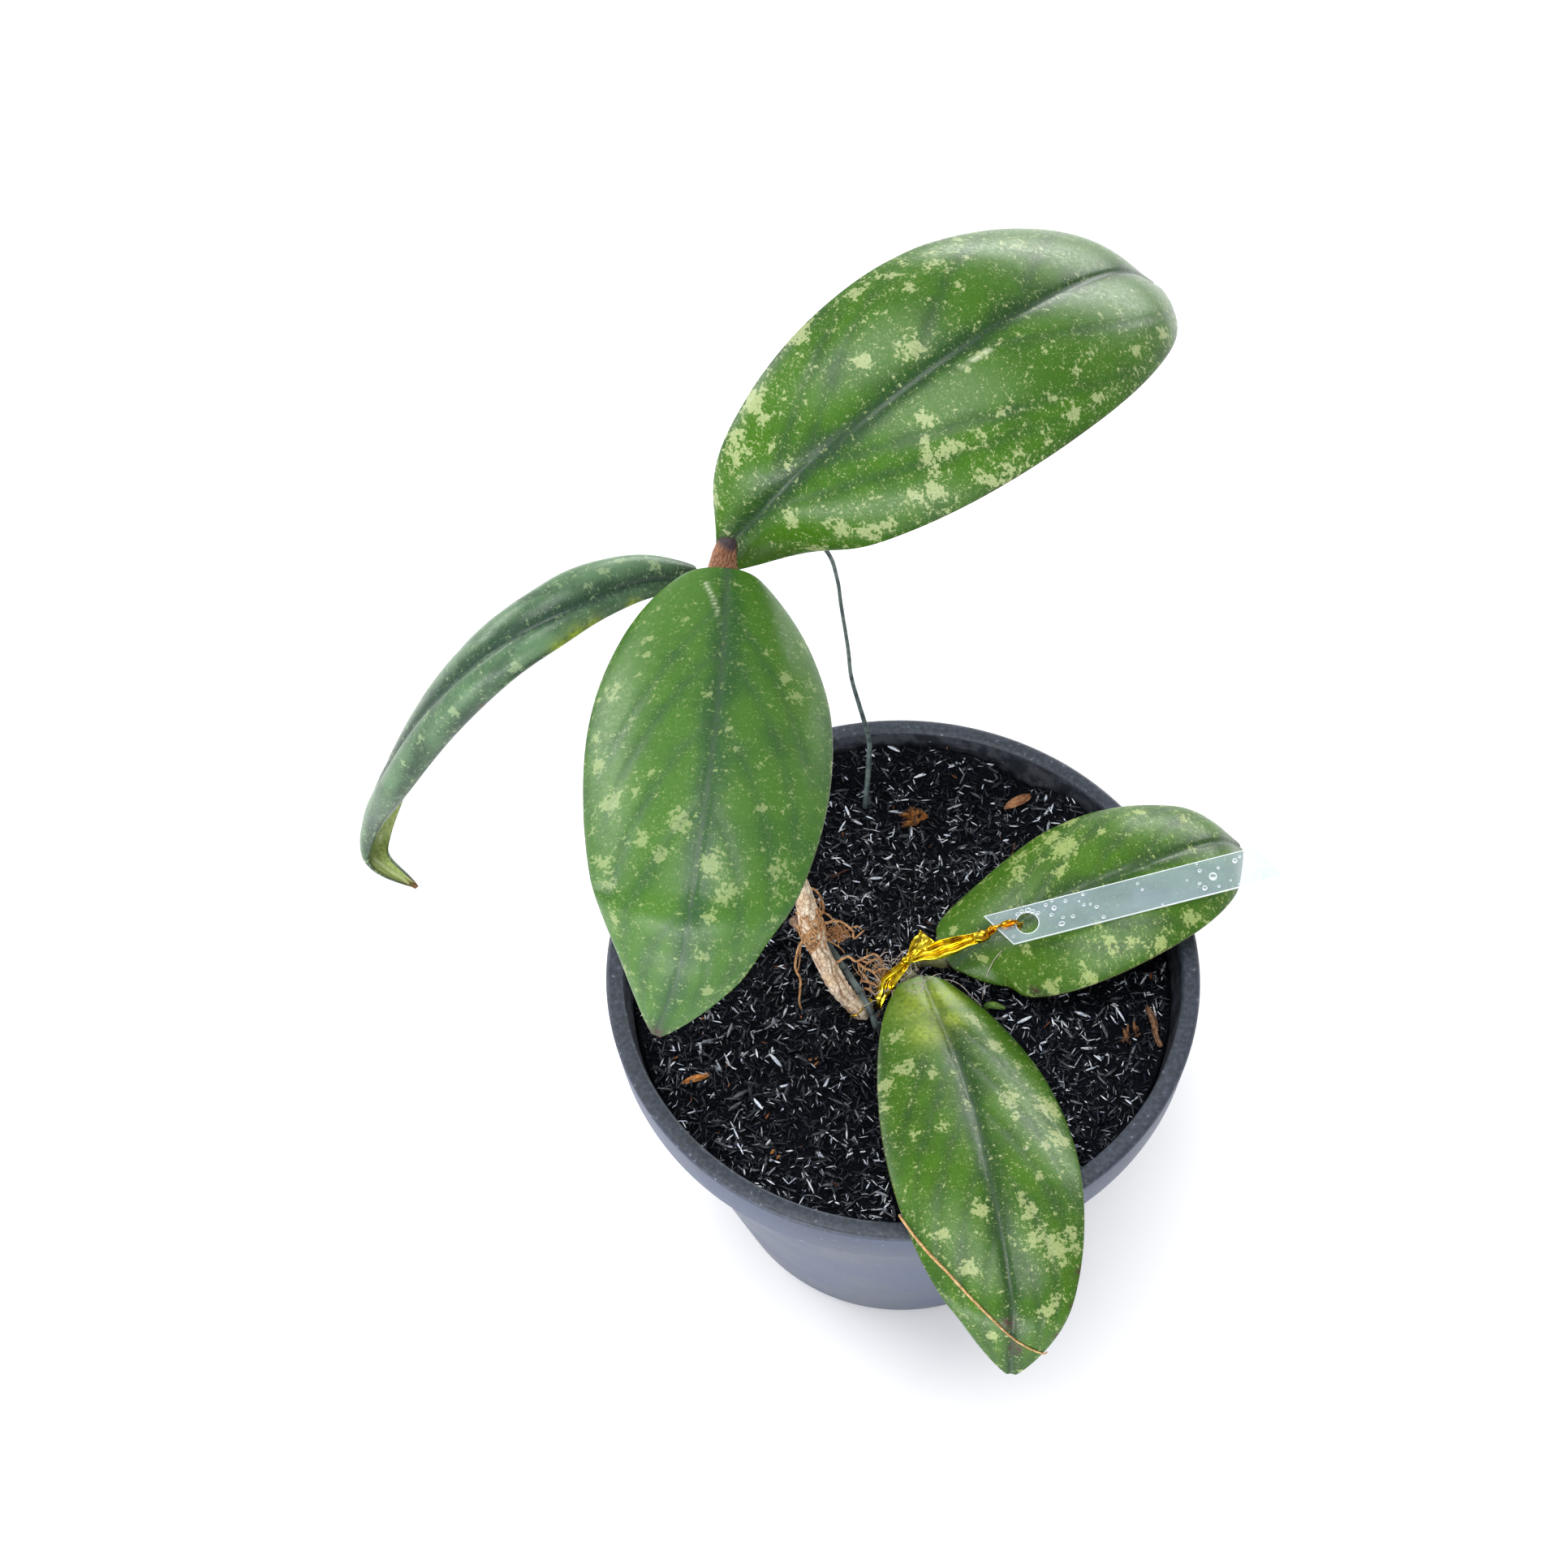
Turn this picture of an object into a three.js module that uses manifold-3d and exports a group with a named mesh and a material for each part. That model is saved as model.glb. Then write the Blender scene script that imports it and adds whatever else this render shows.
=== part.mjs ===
// A splash-leaved hoya cutting in a round nursery pot filled with burnt rice husk.
// Millimetres, +Z up, origin at the centre of the pot's foot; the side seen in the photograph faces -Y.
import * as THREE from "three";
import Module from "manifold-3d";

const wasm = await Module();
wasm.setup();
const { Manifold, Mesh } = wasm;

// Clearance kept between neighbouring pieces.
const GAP = 0.3;

// Nursery pot.
const POT_HEIGHT = 112;
const RIM_RADIUS = 75;
const RIM_MOUTH_RADIUS = 70.4;
const RIM_THICKNESS = 1.6;
const SKIRT_DROP = 14;
const SKIRT_RADIUS = 74.2;
const FOOT_RADIUS = 51;
const WALL = 1.4;
const FLOOR = 2;
const WALL_RADIUS_AT_SKIRT = 70.4;
const DRAIN_HOLES = 8;
const DRAIN_RADIUS = 4;
const DRAIN_CIRCLE = 40;
const POT_SIDES = 64;

// Growing medium.
const MEDIUM_TOP = 100;
const BUMP = 0.3;

// Woody parts: centre-line points and radii from the buried end upwards.
const STEM = {
  points: [
    [-7.6, -11, 76], [-8, -10.8, 88], [-10.7, -8.7, 100], [-14, -5.9, 104], [-16.8, -3.5, 108],
    [-19.9, 0.9, 114.5], [-21.8, 4.2, 120.5], [-23.1, 7.3, 128.5], [-24.7, 9.6, 136], [-27.6, 14.6, 146],
    [-31.6, 24.6, 162], [-36, 38, 178], [-39.6, 48.6, 189], [-40.4, 51.6, 194],
  ],
  radii: [
    1.6, 1.8, 2, 2, 2, 2.2, 2.4, 2.5, 2.4, 3.1, 2.6, 2.4, 2.4,
    2.4, 2.5, 2.5, 2.5, 2.6, 2.6, 2.7, 2.8, 3, 3.7, 4.5, 3.6,
  ],
  sides: 12,
  steps: 36,
};
const STEM_STUB = {
  points: [[-21.8, 4.2, 120.8], [-24.6, 5.9, 122.2], [-27.4, 7.4, 122.8]],
  radii: [2.2, 1.9, 1.5],
  sides: 10,
  steps: 6,
};
const SHOOT = {
  points: [[-2, 6.5, 76], [-0.4, 4.4, 91], [0.8, 2.7, 101], [1.4, 2, 104.2]],
  radii: [1.8, 2, 2.3, 2],
  sides: 12,
  steps: 12,
};

// Leaves. spine: midrib points from base to tip. side: direction of the right half. reach: half widths, left
// and right. shape: exponents of the outline at base and tip. base: how blunt it starts, and its lobes.
// roll: turn about the midrib at base and tip, and fold: slope of the blade at the midrib and at the left
// and right margins, in degrees. stalk, keel and radii: the round stalk and how it runs out under the blade.
const BLADE_MIDRIB = 1.3;
const BLADE_MARGIN = 0.8;
const BLADE_ROWS = 22;
const TIP_BLUNTNESS = 0.004;
const HALF_COLUMNS = 5;
const LEAVES = {
  leaf_upper: {
    spine: [
      [-36, 55.3, 211.2], [-20.8, 55.3, 231.2], [3.5, 64.7, 247.3], [30.4, 80.7, 252.7],
      [56.4, 102.4, 242.8], [70.2, 116.9, 224.6],
    ],
    side: [0.6, -0.8, 0],
    reach: [30.3, 32],
    shape: [0.66, 0.61],
    base: [0.02, 2.5],
    roll: [-31.2, -2.3],
    fold: [18.2, -39.6, -39.6],
    stalk: [[-39.6, 51.6, 192], [-38.4, 54.2, 198.5], [-37, 55.4, 205.5], [-36.2, 55.5, 210.6]],
    keel: [[0.05, 2.4], [0.13, 1.9], [0.24, 1.4]],
    radii: [3.4, 3.6, 3.6, 3.4, 1.9, 1.4, 0.9],
  },
  leaf_left: {
    spine: [
      [-45, 53.4, 202.6], [-57.3, 47.6, 206.8], [-73.7, 37.5, 209.7], [-89.9, 32.5, 203.5],
      [-106.2, 31.4, 186.5], [-121.3, 31.6, 163.3], [-131.6, 36.3, 140.3], [-134.4, 34.8, 123.4],
      [-122, 25.3, 120.7],
    ],
    side: [0, 1, 0],
    reach: [10.5, 18.2],
    shape: [0.49, 0.65],
    base: [0.02, 1.5],
    roll: [44.3, -45.5],
    fold: [23.1, -140.2, -103.6],
    stalk: [[-40.6, 48.6, 187], [-45, 49.4, 190.5], [-46.8, 51, 196]],
    keel: [[0.03, 2.1], [0.1, 1.7], [0.2, 1.2]],
    radii: [2.4, 2.3, 2.2, 1.7, 1.3, 0.8],
  },
  leaf_centre: {
    spine: [
      [-36.1, 48.5, 213.6], [-39.9, 3.6, 218], [-46.3, -35.1, 213], [-50.7, -46.9, 198.7],
      [-57.5, -53.2, 180.5],
    ],
    side: [-1, 0, 0],
    reach: [27.3, 32.2],
    shape: [0.55, 0.75],
    base: [0.03, 0.8],
    roll: [9.8, -16],
    fold: [-0.4, -40.5, -40.5],
    stalk: [[-39.2, 46.4, 187], [-38.8, 44.4, 194], [-37.4, 44.8, 204], [-36.8, 46, 209.6]],
    keel: [[0.03, 2.3], [0.1, 1.9], [0.2, 1.3]],
    radii: [2.6, 2.5, 2.3, 2.2, 1.8, 1.4, 0.9],
  },
  leaf_front: {
    spine: [
      [5.8, -4.3, 107.2], [12.7, -37.5, 114.6], [15.5, -68.7, 121.6], [17.1, -93.6, 118.1],
      [16.4, -105.1, 102.3],
    ],
    side: [-1, 0, 0],
    reach: [23.2, 23.8],
    shape: [0.62, 0.7],
    base: [0.04, 0.6],
    roll: [14.3, -10.6],
    fold: [11.8, -27.8, -27.8],
    stalk: [[1.2, 1.6, 102.6], [2.6, -0.8, 103.6]],
    keel: [[0.03, 2], [0.1, 1.7], [0.2, 1.2]],
    radii: [1.5, 1.5, 1.5, 1.2, 0.8],
  },
  leaf_right: {
    spine: [
      [14.4, 0.6, 107.8], [22.9, 6, 109.8], [42.2, 10.4, 119.5], [63.4, 16, 124.6],
      [82.5, 24.1, 119.4], [92.3, 30.1, 106.7],
    ],
    side: [0.2, -1, 0],
    reach: [28, 24.8],
    shape: [0.47, 0.72],
    base: [0.01, 0.5],
    roll: [7.9, 3.3],
    fold: [5.5, -34.2, -34.2],
    stalk: [[1.2, 3, 102.8], [6, 3.6, 103.8], [11, 2, 105.2]],
    keel: [[0.03, 2.2], [0.1, 1.8], [0.2, 1.2]],
    radii: [1.5, 1.5, 1.5, 1.4, 1.2, 0.8],
  },
};

// Roots in the air: thin limbs from the swollen joint and the lower stem.
const ROOTS = {
  root_loop: {
    points: [
      [-23.6, 9, 128.6], [-22.2, 12, 128.8], [-20.6, 12.4, 127.6], [-19.4, 11.2, 125.8],
      [-18.9, 9.2, 123.6], [-20.6, 6.9, 121.6],
    ],
    radii: [0.7, 0.6, 0.5, 0.5, 0.5, 0.6],
    sides: 6,
    steps: 14,
  },
  root_right: {
    points: [
      [-21.4, 5.6, 121], [-17.2, 6.4, 121.8], [-14.6, 7.2, 120], [-11.9, 5.9, 117.5],
      [-11.5, 4.6, 116], [-8.8, 6.8, 116],
    ],
    radii: [0.7, 0.55, 0.5, 0.45, 0.4, 0.3],
    sides: 6,
    steps: 14,
  },
  root_left: {
    points: [
      [-22.4, 5, 119.4], [-25.4, 2.4, 118], [-26.9, -0.5, 112.5], [-25.8, -2.7, 109.5],
      [-26.4, -5.5, 104], [-26.1, -6.7, 100.9],
    ],
    radii: [0.8, 0.6, 0.5, 0.5, 0.45, 0.35],
    sides: 6,
    steps: 14,
  },
  root_low: {
    points: [
      [-17.4, -0.8, 112.6], [-13.6, 0.6, 113.8], [-11.2, -0.3, 112.8], [-7.1, 1.8, 112.2],
      [-5.3, 1.4, 110.5], [-5, 0.6, 108],
    ],
    radii: [0.7, 0.5, 0.45, 0.4, 0.35, 0.3],
    sides: 6,
    steps: 14,
  },
};
const ROOT_TUFT = { centre: [-15.6, 5.4, 117.2], size: [3.1, 2.1, 1.2], turn: -20 };

// Support hoop of green coated wire.
const WIRE = {
  points: [
    [-5, -18, 78], [-5.8, -16, 90], [-6.8, -13.9, 98], [-7.5, -12.8, 100.8], [-8.3, -10.9, 103.8],
    [-9.9, -7, 105.4], [-12, -3.3, 106.2], [-14.2, -0.1, 107.8], [-16.3, 2.8, 110.2], [-18.7, 5.3, 113.6],
    [-21.3, 7.9, 117.6], [-23.1, 11.1, 124.4], [-24.9, 13.6, 132.5], [-27, 16.7, 139.5], [-29.6, 22.2, 149.7],
    [-32.4, 29.8, 161.1], [-35.6, 40.2, 172.2], [-38.6, 51.8, 180.8], [-38.8, 57.8, 188.6], [-37.8, 60.4, 196],
    [-36, 62, 202.6], [-31.6, 64, 206.8], [-25, 65.4, 207.6], [-18.2, 65, 204], [-12.6, 63.8, 196],
    [-10.6, 63.2, 186], [-10, 62.9, 178], [-8.5, 62.1, 161], [-7.7, 61.1, 149], [-3.8, 60.8, 125],
    [-3.6, 59.2, 116], [-5.2, 53.5, 100], [-5.6, 52, 88],
  ],
  radii: [0.85, 0.85],
  sides: 7,
  steps: 64,
};

// Plant label: a bare clear strip that lies on the right leaf, level across.
const LABEL = { start: [24.6, 2.1, 119.5], end: [92.6, 10.2, 130.8], across: [6.6, -8.7, 0] };
const LABEL_THICKNESS = 0.4;
const LABEL_HOLE_RADIUS = 2.8;
const LABEL_HOLE_ALONG = 7.4;

// Twist tie of foil ribbon, from the label's hole to the foot of the stem.
const TIE_TWIST_UPPER = {
  points: [[30.2, 2.8, 121.3], [29.8, 2.9, 119.1], [27, 3.9, 117.7], [23.1, 3.1, 117.6], [20, 1.5, 118]],
  radii: [0.7, 0.75, 0.75, 0.8, 1.2],
  sides: 7,
  steps: 14,
};
const TIE_RIBBON = {
  points: [[20.6, 1.6, 118], [15, 0.6, 117], [10.5, -0.1, 116], [5.8, -0.8, 114.8], [1.4, -1.5, 113.6]],
  halfWidths: [1.3, 2.3, 2.5, 2.3, 1],
  thickness: 0.7,
};
const TIE_WING = {
  points: [[1.4, -1.4, 113.8], [3.6, 0.6, 115.3], [6.9, 3.4, 116.8]],
  halfWidths: [0.9, 1.7, 2.6],
  thickness: 0.6,
};
const TIE_TWIST_LOWER = {
  points: [[1.8, -1.4, 113.7], [-1.2, -3.3, 111.4], [-3.7, -4.9, 109], [-5.6, -7, 105.6], [-6.4, -8.6, 102.4]],
  radii: [1, 1, 1.4, 1.2, 0.7],
  sides: 8,
  steps: 16,
};
const TIE_LOOP = {
  points: [
    [-6.1, -7.8, 103.4], [-8, -5.9, 102], [-9.8, -5.5, 101.8], [-9.6, -7, 103], [-10.4, -9, 103.7],
    [-12.2, -10.3, 103], [-13.9, -10, 101.6],
  ],
  radii: [0.6, 0.4, 0.35, 0.35, 0.35, 0.3, 0.3],
  sides: 7,
  steps: 16,
};
const TIE_KNOTS = [
  { centre: [20.2, 1.5, 118.1], size: [1.9, 1.5, 1.3] },
  { centre: [1.4, -1.4, 113.7], size: [1.3, 1.1, 1.1] },
];

// Loose bits on the medium: centre in plan, length, width, height and heading in degrees.
const BITS = {
  husk_back: { at: [36.4, 52.4], size: [9.4, 3, 1.6], heading: 25 },
  husk_left: { at: [-53.4, -24.3], size: [8.2, 2.4, 1.5], heading: 13 },
  bark_chip_back: { at: [7.6, 49], size: [6.6, 5.2, 3], heading: -40 },
  bark_chip_dark: { at: [-15.6, 33], size: [8.4, 2.6, 1.6], heading: 25 },
  bark_chip_right: { at: [56.7, -20.4], size: [5.4, 3.6, 2.4], heading: 60 },
  bark_chip_front: { at: [-24, -22.5], size: [2.6, 2.3, 2], heading: 10 },
  bark_chip_near: { at: [-34.8, -46.7], size: [3.2, 2.8, 2.2], heading: 50 },
  stick: { at: [62.4, -18.4], size: [12.6, 1.8, 1.5], heading: -80 },
};
const BUD = {
  points: [[20.4, -8.4, 96], [21.4, -8.9, 100.6], [23.2, -9.8, 102.2], [25.8, -10.8, 102]],
  radii: [0.8, 1.2, 1.4, 0.5],
  sides: 9,
  steps: 12,
};

const group = new THREE.Group();
group.name = "potted_hoya_plant";

// A closed solid from vertices and triangles, whichever way round the triangles were listed.
function solidOf(vertices, triangles) {
  const build = (list) =>
    new Manifold(
      new Mesh({
        numProp: 3,
        vertProperties: new Float32Array(vertices.flat()),
        triVerts: new Uint32Array(list.flat()),
      }),
    );
  const solid = build(triangles);
  return solid.volume() > 0 ? solid : build(triangles.map(([a, b, c]) => [a, c, b]));
}

// A three.js geometry as a solid: corners that coincide become one.
function solidOfGeometry(geometry) {
  const source = geometry.index ? geometry.toNonIndexed() : geometry;
  const position = source.getAttribute("position");
  const seen = new Map();
  const vertices = [];
  const corners = [];
  for (let i = 0; i < position.count; i++) {
    const point = [position.getX(i), position.getY(i), position.getZ(i)];
    const key = point.map((value) => Math.round(value * 1e4)).join();
    if (!seen.has(key)) {
      seen.set(key, vertices.length);
      vertices.push(point);
    }
    corners.push(seen.get(key));
  }
  const triangles = [];
  for (let i = 0; i < corners.length; i += 3) {
    const [a, b, c] = corners.slice(i, i + 3);
    if (a !== b && b !== c && c !== a) triangles.push([a, b, c]);
  }
  return solidOf(vertices, triangles);
}

function addPiece(name, solid, colour, roughness = 0.7) {
  const mesh = solid.getMesh();
  const geometry = new THREE.BufferGeometry();
  geometry.setAttribute("position", new THREE.BufferAttribute(mesh.vertProperties, mesh.numProp));
  geometry.setIndex(new THREE.BufferAttribute(mesh.triVerts, 1));
  const material = new THREE.MeshStandardMaterial({ color: colour, roughness, flatShading: true });
  const piece = new THREE.Mesh(geometry, material);
  piece.name = name;
  group.add(piece);
  return solid;
}

const vector = (point) => new THREE.Vector3(...point);

function curveThrough(points) {
  const curve = new THREE.CatmullRomCurve3(points.map(vector), false, "catmullrom", 0.5);
  curve.arcLengthDivisions = 400;
  return curve;
}

// The value at t of a list spread evenly over 0 to 1.
function along(list, t) {
  const place = t * (list.length - 1);
  const index = Math.min(Math.floor(place), list.length - 2);
  return THREE.MathUtils.lerp(list[index], list[index + 1], place - index);
}

// A round limb of varying radius. grow makes it larger all over, for the space around it.
function limb({ points, radii, sides, steps }, grow = 0) {
  const curve = curveThrough(points);
  const { normals, binormals } = curve.computeFrenetFrames(steps, false);
  const vertices = [];
  const triangles = [];
  for (let i = 0; i <= steps; i++) {
    const centre = curve.getPointAt(i / steps);
    if (i === 0) centre.addScaledVector(curve.getTangentAt(0), -grow);
    if (i === steps) centre.addScaledVector(curve.getTangentAt(1), grow);
    const radius = along(radii, i / steps) + grow;
    for (let j = 0; j < sides; j++) {
      const angle = (2 * Math.PI * j) / sides;
      const point = centre
        .clone()
        .addScaledVector(normals[i], radius * Math.cos(angle))
        .addScaledVector(binormals[i], radius * Math.sin(angle));
      vertices.push(point.toArray());
    }
  }
  for (let i = 0; i < steps; i++) {
    for (let j = 0; j < sides; j++) {
      const a = i * sides + j;
      const b = i * sides + ((j + 1) % sides);
      triangles.push([a, b, b + sides], [a, b + sides, a + sides]);
    }
  }
  const last = steps * sides;
  for (let j = 1; j < sides - 1; j++) {
    triangles.push([0, j + 1, j], [last, last + j, last + j + 1]);
  }
  return solidOf(vertices, triangles);
}

// A flat ribbon whose face is turned towards the direction given.
function ribbon({ points, halfWidths, thickness }, facing, steps = 14) {
  const curve = curveThrough(points);
  const vertices = [];
  const triangles = [];
  for (let i = 0; i <= steps; i++) {
    const centre = curve.getPointAt(i / steps);
    const across = new THREE.Vector3().crossVectors(curve.getTangentAt(i / steps), facing).normalize();
    const up = new THREE.Vector3().crossVectors(across, curve.getTangentAt(i / steps)).normalize();
    const half = along(halfWidths, i / steps);
    for (const [x, z] of [[-half, -1], [half, -1], [half, 1], [-half, 1]]) {
      vertices.push(
        centre.clone().addScaledVector(across, x).addScaledVector(up, (z * thickness) / 2).toArray(),
      );
    }
  }
  for (let i = 0; i < steps; i++) {
    for (let j = 0; j < 4; j++) {
      const a = i * 4 + j;
      const b = i * 4 + ((j + 1) % 4);
      triangles.push([a, b, b + 4], [a, b + 4, a + 4]);
    }
  }
  const last = steps * 4;
  triangles.push([0, 2, 1], [0, 3, 2], [last, last + 1, last + 2], [last, last + 2, last + 3]);
  return solidOf(vertices, triangles);
}

function ellipsoid({ centre, size, turn = 0 }, sides = 12) {
  const geometry = new THREE.SphereGeometry(1, sides, Math.round(sides * 0.6));
  geometry.rotateX(Math.PI / 2);
  geometry.scale(...size);
  geometry.rotateZ(THREE.MathUtils.degToRad(turn));
  geometry.translate(...centre);
  return solidOfGeometry(geometry);
}

// Outline of a leaf: its half width over its greatest half width, at s from base 0 to tip 1.
function outline(s, [a, b], [start]) {
  const peak = a / (a + b);
  const greatest = peak ** a * (1 - peak) ** b;
  const t = (s + start) / (1 + start + TIP_BLUNTNESS);
  return (t ** a * (1 - t) ** b) / greatest;
}

// The midrib's point, tangent, right-hand direction and upward normal at s.
function midrib(leaf, curve, s) {
  const centre = curve.getPointAt(s);
  const tangent = curve.getTangentAt(s);
  const side = vector(leaf.side).addScaledVector(tangent, -tangent.dot(vector(leaf.side))).normalize();
  const normal = new THREE.Vector3().crossVectors(side, tangent);
  const roll = THREE.MathUtils.degToRad(THREE.MathUtils.lerp(leaf.roll[0], leaf.roll[1], s));
  const right = side.clone().multiplyScalar(Math.cos(roll)).addScaledVector(normal, Math.sin(roll));
  const up = normal.multiplyScalar(Math.cos(roll)).addScaledVector(side, -Math.sin(roll));
  return { centre, tangent, right, up };
}

// Across one half of a blade of unit half width: how far out and how far up at v, and the slope there.
function section(fold0, fold1, v) {
  const slices = 24;
  let out = 0;
  let up = 0;
  for (let i = 0; i < slices; i++) {
    const slope = THREE.MathUtils.degToRad(fold0 + ((fold1 - fold0) * v * (i + 0.5)) / slices);
    out += (Math.cos(slope) * v) / slices;
    up += (Math.sin(slope) * v) / slices;
  }
  return { out, up, slope: THREE.MathUtils.degToRad(fold0 + (fold1 - fold0) * v) };
}

function bladeSolid(leaf) {
  const curve = curveThrough(leaf.spine);
  const columns = 2 * HALF_COLUMNS + 1;
  const upper = [];
  const lower = [];
  for (let i = 0; i <= BLADE_ROWS; i++) {
    const s = i / BLADE_ROWS;
    const { centre, tangent, right, up } = midrib(leaf, curve, s);
    const lobe = leaf.base[1] * Math.max(0, 1 - s / 0.2) ** 2;
    for (let j = -HALF_COLUMNS; j <= HALF_COLUMNS; j++) {
      const v = Math.abs(j) / HALF_COLUMNS;
      const hand = Math.sign(j);
      const { out, up: rise, slope } = section(leaf.fold[0], leaf.fold[hand < 0 ? 1 : 2], v);
      const half = leaf.reach[hand < 0 ? 0 : 1] * outline(s, leaf.shape, leaf.base);
      const point = centre
        .clone()
        .addScaledVector(right, hand * half * out)
        .addScaledVector(up, half * rise)
        .addScaledVector(tangent, -lobe * Math.sin(Math.PI * v));
      const thickness = THREE.MathUtils.lerp(BLADE_MIDRIB, BLADE_MARGIN, v);
      const normal = up
        .clone()
        .multiplyScalar(hand === 0 ? 1 : Math.cos(slope))
        .addScaledVector(right, -hand * Math.sin(slope));
      upper.push(point.toArray());
      lower.push(point.clone().addScaledVector(normal, -thickness).toArray());
    }
  }
  const count = upper.length;
  const triangles = [];
  const quad = (a, b, c, d) => triangles.push([a, b, c], [a, c, d]);
  for (let i = 0; i < BLADE_ROWS; i++) {
    for (let j = 0; j < columns - 1; j++) {
      const a = i * columns + j;
      quad(a, a + 1, a + columns + 1, a + columns);
      quad(count + a, count + a + columns, count + a + columns + 1, count + a + 1);
    }
    const left = i * columns;
    const right = left + columns - 1;
    quad(left, left + columns, count + left + columns, count + left);
    quad(right, count + right, count + right + columns, right + columns);
  }
  const tip = BLADE_ROWS * columns;
  for (let j = 0; j < columns - 1; j++) {
    quad(j, count + j, count + j + 1, j + 1);
    quad(tip + j, tip + j + 1, count + tip + j + 1, count + tip + j);
  }
  return solidOf([...upper, ...lower], triangles);
}

// A leaf: its blade, with the stalk that runs on under it as a keel.
function leafSolid(leaf) {
  const curve = curveThrough(leaf.spine);
  const keel = leaf.keel.map(([s, depth]) => {
    const { centre, up } = midrib(leaf, curve, s);
    return centre.addScaledVector(up, -depth).toArray();
  });
  const stalk = limb({ points: [...leaf.stalk, ...keel], radii: leaf.radii, sides: 8, steps: 14 });
  return bladeSolid(leaf).add(stalk);
}

// Height of the medium's surface, a little uneven.
function surfaceAt(x, y) {
  return MEDIUM_TOP + BUMP * (Math.sin(x / 7 + 1) * Math.cos(y / 9) + 0.6 * Math.sin((x - y) / 11));
}

function potSolid() {
  const z = POT_HEIGHT;
  const rimUnderside = z - RIM_THICKNESS;
  const skirtFoot = z - SKIRT_DROP;
  const profile = [
    [0, 0], [FOOT_RADIUS - 1, 0], [FOOT_RADIUS, 0.8], [WALL_RADIUS_AT_SKIRT, skirtFoot],
    [RIM_MOUTH_RADIUS + WALL, rimUnderside], [RIM_RADIUS - WALL, rimUnderside],
    [SKIRT_RADIUS - WALL, skirtFoot], [SKIRT_RADIUS, skirtFoot], [SKIRT_RADIUS + 0.2, skirtFoot + 1.2],
    [RIM_RADIUS, z - 0.9], [RIM_RADIUS - 0.8, z], [RIM_MOUTH_RADIUS + 0.5, z], [RIM_MOUTH_RADIUS, z - 0.6],
    [WALL_RADIUS_AT_SKIRT - WALL, skirtFoot],
    [FOOT_RADIUS - WALL + 0.3, FLOOR + 1], [FOOT_RADIUS - WALL - 1.5, FLOOR], [0, FLOOR],
  ];
  let pot = solidOfGeometry(
    new THREE.LatheGeometry(profile.map(([r, h]) => new THREE.Vector2(r, h)), POT_SIDES).rotateX(Math.PI / 2),
  );
  for (let i = 0; i < DRAIN_HOLES; i++) {
    const angle = (2 * Math.PI * (i + 0.5)) / DRAIN_HOLES;
    const hole = new THREE.CylinderGeometry(DRAIN_RADIUS, DRAIN_RADIUS, 3 * FLOOR, 20)
      .rotateX(Math.PI / 2)
      .translate(DRAIN_CIRCLE * Math.cos(angle), DRAIN_CIRCLE * Math.sin(angle), FLOOR / 2);
    pot = pot.subtract(solidOfGeometry(hole));
  }
  return pot;
}

// The medium: what the pot holds, in rings out to the wall, its top uneven.
function mediumSolid() {
  const wallAt = (h) =>
    THREE.MathUtils.mapLinear(h, FLOOR + 1, POT_HEIGHT - SKIRT_DROP, FOOT_RADIUS - WALL + 0.3,
      WALL_RADIUS_AT_SKIRT - WALL);
  const foot = FLOOR + GAP;
  const rings = 6;
  const sides = 48;
  const edgeTop = wallAt(MEDIUM_TOP) - GAP - 0.35;
  const vertices = [[0, 0, surfaceAt(0, 0)]];
  for (let i = 1; i <= rings; i++) {
    for (let j = 0; j < sides; j++) {
      const angle = (2 * Math.PI * j) / sides;
      const radius = (edgeTop * i) / rings;
      const x = radius * Math.cos(angle);
      const y = radius * Math.sin(angle);
      vertices.push([x, y, surfaceAt(x, y)]);
    }
  }
  for (const [radius, h] of [[wallAt(FLOOR + 2) - GAP - 0.4, FLOOR + 2], [FOOT_RADIUS - WALL - 2.4, foot]]) {
    for (let j = 0; j < sides; j++) {
      const angle = (2 * Math.PI * j) / sides;
      vertices.push([radius * Math.cos(angle), radius * Math.sin(angle), h]);
    }
  }
  vertices.push([0, 0, foot]);
  const triangles = [];
  for (let j = 0; j < sides; j++) {
    const next = (j + 1) % sides;
    triangles.push([0, 1 + j, 1 + next]);
    for (let i = 0; i <= rings; i++) {
      const a = 1 + i * sides + j;
      const b = 1 + i * sides + next;
      triangles.push([a, a + sides, b + sides], [a, b + sides, b]);
    }
    const base = 1 + (rings + 1) * sides;
    triangles.push([base + j, vertices.length - 1, base + next]);
  }
  return solidOf(vertices, triangles);
}

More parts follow.
